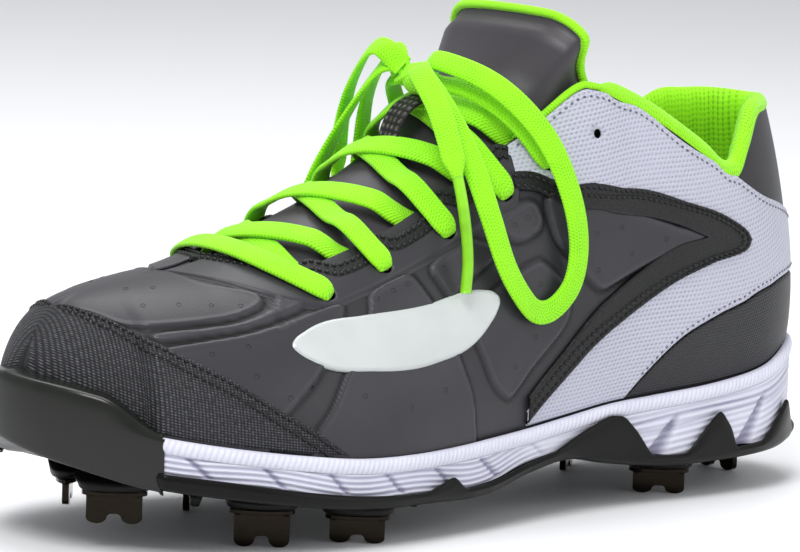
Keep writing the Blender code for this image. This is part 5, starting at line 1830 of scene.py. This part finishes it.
class CLEAT_OT_midsole(CleatOperator, bpy.types.Operator):
    """Foam midsole with its corded rim, ribs and slanted notches, and the insole"""

    bl_idname = "cleat.add_midsole"
    bl_label = "Midsole"

    def execute(self, context):
        tint = colours()
        count = sizes().sole_steps // 2 * 2
        turns = sole_turns(count)
        phase = np.abs(turns)
        share = share_of(phase)
        bottom, edge = level(side_split, phase), level(side_edge, phase)
        along = share * LENGTH / MM
        rim_height = 4.5 * MM
        levels = [(np.full(count, -6 * MM), bottom + 0.6 * MM)]
        tones = [np.full(count, 0.6)]
        low, high = bottom + 0.35 * MM, edge - rim_height
        wall = (high - low) / MM
        forefoot = ease((share - 0.40) / 0.12) * (1 - ease((share - 0.93) / 0.05))
        back = 1 - ease((share - 0.36) / 0.08)
        for u in np.linspace(0, 1, 56):
            up = u * wall
            # fine wavy ribs run along the forefoot, and slanted notches cross them
            ribs = 0.5 - 0.5 * np.cos((up + 0.7 * np.sin(along / 8.0)) * math.tau / 1.7)
            gap = (along - up * 1.1 + 6) % 21 - 10.5
            notch = np.exp(-(gap / 0.9) ** 2) * ease(u / 0.15) * ease((1 - u) / 0.1)
            # fine ribs and two long creases follow the rim at the heel
            heel_ribs = 0.5 - 0.5 * np.cos((up - wall + 0.5 * np.sin(along / 12)) * math.tau / 2.1)
            creases = sum(
                np.exp(-((up - wall + drop + swell * np.sin(along / run)) / 0.45) ** 2)
                for drop, swell, run in ((3.2, 0.9, 14.0), (6.0, 0.7, 11.0))
            )
            # scoops lean forward between the teeth of the plate
            scoop = np.zeros(count)
            for place in (0.128, 0.262):
                across = along - place * LENGTH / MM + 0.75 * (up - wall / 2)
                width = 0.8 + 3.4 * max(0.0, 0.9 - u)
                scoop += np.exp(-(across / width) ** 4) * ease((0.88 - u) / 0.25)
            scoop = np.clip(scoop, 0, 1)
            cut = (0.38 * ribs + 0.9 * notch) * forefoot
            cut = cut + (0.28 * heel_ribs * (1 - scoop) + 0.4 * creases + 2.2 * scoop) * back
            cut = cut * np.clip(wall / 3.0, 0.3, 1)
            levels.append(((-0.6 - cut) * MM, low + (high - low) * u))
            # the tone is painted shade in the ribs, notches, heel ribs, creases and scoops
            tones.append(np.clip(0.62 - 0.42 * ribs * forefoot - 0.6 * notch * forefoot - back * (
                0.26 * heel_ribs + 0.3 * creases + 0.45 * scoop), 0, 1))
        levels.append((np.full(count, -RIM - 0.2 * MM), high + 0.1 * MM))
        levels.append((np.full(count, -RIM - 0.2 * MM), edge - 5.0 * MM))
        # the band under the rim gets painted shade
        tones += [np.full(count, 0.3)] * 2
        soft = foam("pressed_eva_foam", tint.midsole[:], linear("#8F8CA6"))
        piece("midsole_foam", *closed_body(levels, turns), soft, "midsole_foam", ("midsole",),
              np.concatenate(tones))

        # the rim is moulded like a cord, with slanted ticks
        tick_pitch = 1.8
        fine = sole_turns(2200)
        share = share_of(np.abs(fine))
        around_mm = distances(outline(fine)) / MM
        ticks = round(float(around_mm[-1]) / tick_pitch)
        edge = level(side_edge, np.abs(fine))
        levels, tones = [], []
        for u in np.linspace(0, 1, 15):
            swell = math.sin(math.pi * min(1.0, 0.06 + 0.94 * u)) ** 0.5
            slant = 1.6 * (u - 0.5)
            tick = 0.5 + 0.5 * np.cos((around_mm + slant) / around_mm[-1] * ticks * math.tau)
            tick = (1 - tick**3) * swell
            levels.append(((-1.0 + 1.1 * swell - 0.26 * (1 - tick)) * MM,
                           edge - rim_height * (1 - u) * 0.98))
            # each tick's crest gets a painted highlight, and the gaps between ticks painted shade
            tones.append(np.clip(0.42 + 0.24 * tick, 0, 1))
        levels.append((np.full(len(fine), -RIM), edge - 0.1 * MM))
        tones.append(np.full(len(fine), 0.4))
        piece("midsole_rim", *rings_body(levels, fine), soft, "midsole_foam", (),
              np.concatenate(tones))

        count = 200
        inner = sole_turns(count)
        edge = level(side_edge, np.abs(inner))
        floor = edge - CUP_DEPTH
        inset = -FOOT_INSET - WALL - 1.6 * MM
        levels = [(np.full(count, inset), floor), (np.full(count, inset), edge - 3.2 * MM),
                  (np.full(count, inset - 1.2 * MM), floor + 3.5 * MM),
                  (np.full(count, inset - 6 * MM), floor + 3.4 * MM)]
        piece("insole_cloth", *closed_body(levels, inner),
              woven("polyester_topcloth", linear("#202023"), linear("#4C4C52"), 1.4, 1.4, 0.85,
                    0.0002), "insole_fabric", ("insole",))
        return {"FINISHED"}


class CLEAT_OT_bumper(CleatOperator, bpy.types.Operator):
    """Glossy rubber cap round the toe"""

    bl_idname = "cleat.add_bumper"
    bl_label = "Toe bumper"

    def execute(self, context):
        start = float(phase_of(BUMPER_START))
        half = np.linspace(start, 1 - 1e-6, 90)
        turns = np.concatenate([half, -half[::-1]])
        phase = np.abs(turns)
        share = share_of(phase)
        cover = np.clip((share - BUMPER_START) / BUMPER_LAP, 0, 1)
        # the cap reaches down over the side of the plate
        edge, bottom = level(side_edge, phase), level(side_under, phase) - 0.3 * MM
        rise = (1.0 + 6.5 * ease((share - BUMPER_START) / 0.05)) * MM
        tops = np.empty(len(turns))
        for side in (1, -1):
            here = turns * side > 0
            tops[here] = climb_to(phase[here], (edge + rise)[here], side)
        proud = -0.4 * MM + BUMPER_THICKNESS * cover
        skin_line = skin(turns, tops, np.full(len(turns), 0.5 * MM))[0]

        def side_point(outset, height):
            return around(turns, outset, height) + ORIGIN

        # the face stands almost upright, and a bevelled ledge goes in from it to the upper
        shoulder = side_point(proud - 1.3 * MM, edge + rise - 0.6 * MM)
        ledge = skin_line - shoulder
        ring = [
            side_point(np.full(len(turns), 0.2 * MM), bottom),
            side_point(proud - 0.9 * MM, bottom),
            side_point(proud - 0.25 * MM, bottom + 0.7 * MM),
            side_point(proud, bottom + 1.6 * MM),
            side_point(proud + 0.1 * MM, (bottom + edge) / 2),
            side_point(proud - 0.1 * MM, edge - 0.5 * MM),
            side_point(proud - 0.55 * MM, edge + rise - 2.0 * MM),
            shoulder,
            shoulder + ledge * 0.25 + (0, 0, 0.25 * MM),
            shoulder + ledge * 0.75 + (0, 0, 0.25 * MM),
            skin_line,
        ]
        fine = np.stack([even_line_count(column, 40) for column in np.stack(ring, axis=1)])
        laid = np.stack([np.broadcast_to((turns * 100)[:, None], fine.shape[:2]),
                         np.broadcast_to(np.arange(40.0), fine.shape[:2])], axis=-1)
        made = piece("toe_bumper_rubber", fine.reshape(-1, 3), grid_faces(*fine.shape[:2]),
                     laid.reshape(-1, 2),
                     moulded("toe_rubber", colours().bumper[:], 0.22, 0.12, 0.15, 0.3),
                     "bumper_rubber", ("toe_bumper",))
        thicken(made, 0.6 * MM)
        return {"FINISHED"}


def under_foot(share, across):
    """Point on the underside of the plate."""
    return np.array([
        share * LENGTH,
        across * BALL_WIDTH,
        float(level(side_under, phase_of(share))),
    ])


def turned(x, y, degrees, centre):
    """Where x and y from a centre land after a turn about it."""
    spin = math.radians(degrees)
    return (centre[0] + x * math.cos(spin) - y * math.sin(spin),
            centre[1] + x * math.sin(spin) + y * math.cos(spin))


def block(centre, turn, half_length, half_across, bottom, top, taper, sides, soft=0.0):
    """An upright block with a many-sided outline, narrower at its bottom."""
    verts = []
    angles = np.arange(sides) * math.tau / sides
    levels = [(bottom, taper - soft), (bottom + (top - bottom) * 0.12, taper), (top, 1.0)]
    for height, size in levels:
        for angle in angles:
            x = math.cos(angle) * half_length * size
            y = math.sin(angle) * half_across * size
            verts.append((*turned(x, y, turn, centre), height))
    faces = ring_faces(0, len(levels), sides)
    faces.append(tuple(range(sides))[::-1])
    faces.append(tuple(2 * sides + i for i in range(sides)))
    return np.array(verts) + ORIGIN, faces, np.zeros((len(verts), 2))


class CLEAT_OT_plate(CleatOperator, bpy.types.Operator):
    """Moulded plate with its toothed side wall and the blocks of the spikes"""

    bl_idname = "cleat.add_plate"
    bl_label = "Plate"

    def execute(self, context):
        count = sizes().sole_steps // 2 * 2
        turns = sole_turns(count)
        phase = np.abs(turns)
        share = share_of(phase)
        under, split = level(side_under, phase), level(side_split, phase)
        low = split + 0.7 * MM
        teeth = np.where(share < PLATE_WAVE[-1][0], level(wave_height, phase), low)
        crest = np.maximum(low, teeth)
        crest = (np.roll(crest, 1) + 2 * crest + np.roll(crest, -1)) / 4
        wall = 1.55 * MM
        full = np.ones(count)
        levels = [
            (full * -9 * MM, under + 0.1 * MM),
            (full * -3 * MM, under),
            (full * 0.2 * MM, under + 0.5 * MM),
            (full * (wall - 0.35 * MM), under + 1.5 * MM),
            (full * wall, under + 2.4 * MM),
        ]
        for u in np.linspace(0.12, 1.0, 10):
            bulge = 0.35 * MM * math.sin(math.pi * u)
            levels.append((full * (wall + bulge), under + 2.4 * MM + (crest - under - 2.9 * MM) * u))
        levels += [
            (full * (wall - 0.35 * MM), crest - 0.08 * MM),
            (full * (wall - 0.8 * MM), crest),
            (full * 0.30 * MM, crest - 0.3 * MM),
            (full * 0.30 * MM, split),
            (full * -8 * MM, split + 0.1 * MM),
        ]
        parts = [closed_body(levels, turns)]
        for _, at, across, turn, _ in SPIKES:
            spot = under_foot(at, across)
            parts.append(block(spot, turn, SPIKE_WIDTH * 0.68, SPIKE_WIDTH * 0.34,
                               spot[2] - BLOCK_HEIGHT, spot[2] + 2 * MM, 0.86, 24, 0.05))
        for at, across in POINTS:
            spot = under_foot(at, across)
            parts.append(block(spot, 45, 3.2 * MM, 3.2 * MM, spot[2] - 4 * MM, spot[2] + 2 * MM,
                               0.4, 14, 0.08))
        made = piece("plate_moulding", *joined(parts),
                     moulded("plate_polyurethane", colours().plate[:], 0.34, gloss=0.16),
                     "moulded_plate", ("outsole_plate",))
        made.modifiers.new("Corners", "WEIGHTED_NORMAL").keep_sharp = True
        return {"FINISHED"}


class CLEAT_OT_spikes(CleatOperator, bpy.types.Operator):
    """Metal spikes with two round lobes, each on its riveted flange"""

    bl_idname = "cleat.add_spikes"
    bl_label = "Spikes"

    def execute(self, context):
        material = tumbled_steel("tumbled_steel", colours().steel[:])
        width, thickness, flange = SPIKE_WIDTH, SPIKE_THICKNESS, FLANGE
        # one lobe: a straight outer side, a round foot, and half of the notch
        lobe = [(0.29 + 0.17 * math.cos(a), 0.20 - 0.20 * math.sin(a))
                for a in np.linspace(0, math.pi, 13)]
        right = [(0.46, 1.0)] + lobe + [(0.105, 0.27), (0.06, 0.32)]
        outline_points = right + [(-x, y) for x, y in right[::-1]]
        for name, share, across, turn, lift in SPIKES:
            spot = under_foot(share, across)
            top = spot[2] - BLOCK_HEIGHT - 0.35 * MM
            tip = lift * SPIKE_HEIGHT
            verts = []
            for half in (-0.5, 0.5):
                for x, up in outline_points:
                    verts.append((*turned(x * width, half * thickness, turn, spot),
                                  tip + up * (top - flange / 2 - tip)))
            count = len(outline_points)
            faces = [tuple(range(count)), tuple(range(2 * count - 1, count - 1, -1))]
            faces += [(i, count + i, count + (i + 1) % count, (i + 1) % count)
                      for i in range(count)]
            parts = [(np.array(verts) + ORIGIN, faces, np.zeros((len(verts), 2))),
                     block(spot, turn, width * 0.54, thickness * 1.8, top - flange, top, 1.0, 20)]
            for end in (-0.40, 0.40):
                rivet = turned(end * width, 0, turn, spot)
                parts.append(block(rivet, 0, 1.5 * MM, 1.5 * MM, top - flange - 0.7 * MM,
                                   top - flange + 0.2 * MM, 0.75, 12, 0.15))
            made = piece("spike_" + name + "_steel", *joined(parts), material, "spike_steel",
                         ("spike_" + name,), smooth_faces=False)
            edges = made.modifiers.new("Edges", "BEVEL")
            edges.width = 0.25 * MM
            edges.segments = 2
            edges.limit_method = "ANGLE"
        return {"FINISHED"}


class CLEAT_OT_stage(CleatOperator, bpy.types.Operator):
    """Pale floor, soft lights and the camera"""

    bl_idname = "cleat.add_stage"
    bl_label = "Stage"

    def execute(self, context):
        scene = context.scene
        mesh = bpy.data.meshes.new("floor")
        reach = 14
        ring = [(reach * math.cos(a), reach * math.sin(a), 0)
                for a in np.linspace(0, math.tau, 64, endpoint=False)]
        mesh.from_pydata(ring, [], [tuple(range(64))])
        floor = bpy.data.objects.new("floor", mesh)
        scene.collection.objects.link(floor)
        material = bpy.data.materials.new("pale_paper")
        material.use_nodes = True
        shader = material.node_tree.nodes["Principled BSDF"]
        shader.inputs["Base Color"].default_value = (*linear("#F4F4F6"), 1)
        shader.inputs["Roughness"].default_value = 0.6
        mesh.materials.append(material)

        scene.view_settings.view_transform = "Standard"
        world = scene.world or bpy.data.worlds.new("studio")
        scene.world = world
        world.use_nodes = True
        background = world.node_tree.nodes["Background"]
        background.inputs[0].default_value = (0.96, 0.98, 1.0, 1)
        background.inputs[1].default_value = 0.60

        for name, place, size, power in (
            ("key", (0.9, 0.5, 1.5), 0.8, 20),
            ("top", (-0.3, -0.5, 1.6), 1.2, 15),
            ("fill", (-0.9, 1.4, 0.8), 1.2, 6),
        ):
            lamp = bpy.data.lights.new(name, "AREA")
            lamp.size = size
            lamp.energy = power
            light = bpy.data.objects.new(name, lamp)
            light.location = place
            toward = Vector((0, 0, 0.05)) - Vector(place)
            light.rotation_euler = toward.to_track_quat("-Z", "Y").to_euler()
            scene.collection.objects.link(light)

        azimuth, elevation, roll = math.radians(40.18), math.radians(7.98), math.radians(1.98)
        back = Vector((math.sin(azimuth) * math.cos(elevation),
                       math.cos(azimuth) * math.cos(elevation), math.sin(elevation)))
        target = Vector((0.150, 0.0, 0.060)) + Vector(ORIGIN)
        right = (-back).cross(Vector((0, 0, 1))).normalized()
        up = right.cross(-back)
        level_right = right * math.cos(roll) + up * math.sin(roll)
        level_up = up * math.cos(roll) - right * math.sin(roll)
        # the photograph is 800 pixels wide, and its lens has a focal length of 4466 pixels
        photo_width, sensor = 800, 36
        lens = bpy.data.cameras.new("camera")
        lens.lens = sensor * 4465.95 / photo_width
        lens.sensor_width = sensor
        lens.shift_x = -13.79 / photo_width
        lens.shift_y = 33.36 / photo_width
        lens.clip_start, lens.clip_end = 0.05, 60
        camera = bpy.data.objects.new("camera", lens)
        camera.matrix_world = Matrix((
            (level_right.x, level_up.x, back.x, 0), (level_right.y, level_up.y, back.y, 0),
            (level_right.z, level_up.z, back.z, 0), (0, 0, 0, 1),
        ))
        camera.location = target + back * 1.3566
        scene.collection.objects.link(camera)
        scene.camera = camera
        return {"FINISHED"}


class CLEAT_PT_panel(bpy.types.Panel):
    """Sizes, colours and pieces of the cleat"""

    bl_idname = "CLEAT_PT_panel"
    bl_label = "Cleat"
    bl_space_type = "VIEW_3D"
    bl_region_type = "UI"
    bl_category = "Cleat"

    def draw(self, context):
        layout = self.layout
        for group in (context.scene.cleat_sizes, context.scene.cleat_colours):
            column = layout.column()
            for name in group.bl_rna.properties.keys():
                if name not in ("rna_type", "name"):
                    column.prop(group, name)
        for operator in OPERATORS:
            layout.operator(operator.bl_idname)


OPERATORS = (
    CLEAT_OT_stage,
    CLEAT_OT_upper,
    CLEAT_OT_overlays,
    CLEAT_OT_throat,
    CLEAT_OT_sewing,
    CLEAT_OT_tongue,
    CLEAT_OT_collar,
    CLEAT_OT_laces,
    CLEAT_OT_bow,
    CLEAT_OT_midsole,
    CLEAT_OT_bumper,
    CLEAT_OT_plate,
    CLEAT_OT_spikes,
)
CLASSES = (CleatColours, CleatSizes, *OPERATORS, CLEAT_PT_panel)


def register():
    for part in CLASSES:
        bpy.utils.register_class(part)
    bpy.types.Scene.cleat_sizes = PointerProperty(type=CleatSizes)
    bpy.types.Scene.cleat_colours = PointerProperty(type=CleatColours)


def unregister():
    del bpy.types.Scene.cleat_colours
    del bpy.types.Scene.cleat_sizes
    for part in reversed(CLASSES):
        bpy.utils.unregister_class(part)


def main():
    register()
    for operator in OPERATORS:
        group, name = operator.bl_idname.split(".")
        getattr(getattr(bpy.ops, group), name)()


if __name__ == "__main__":
    main()
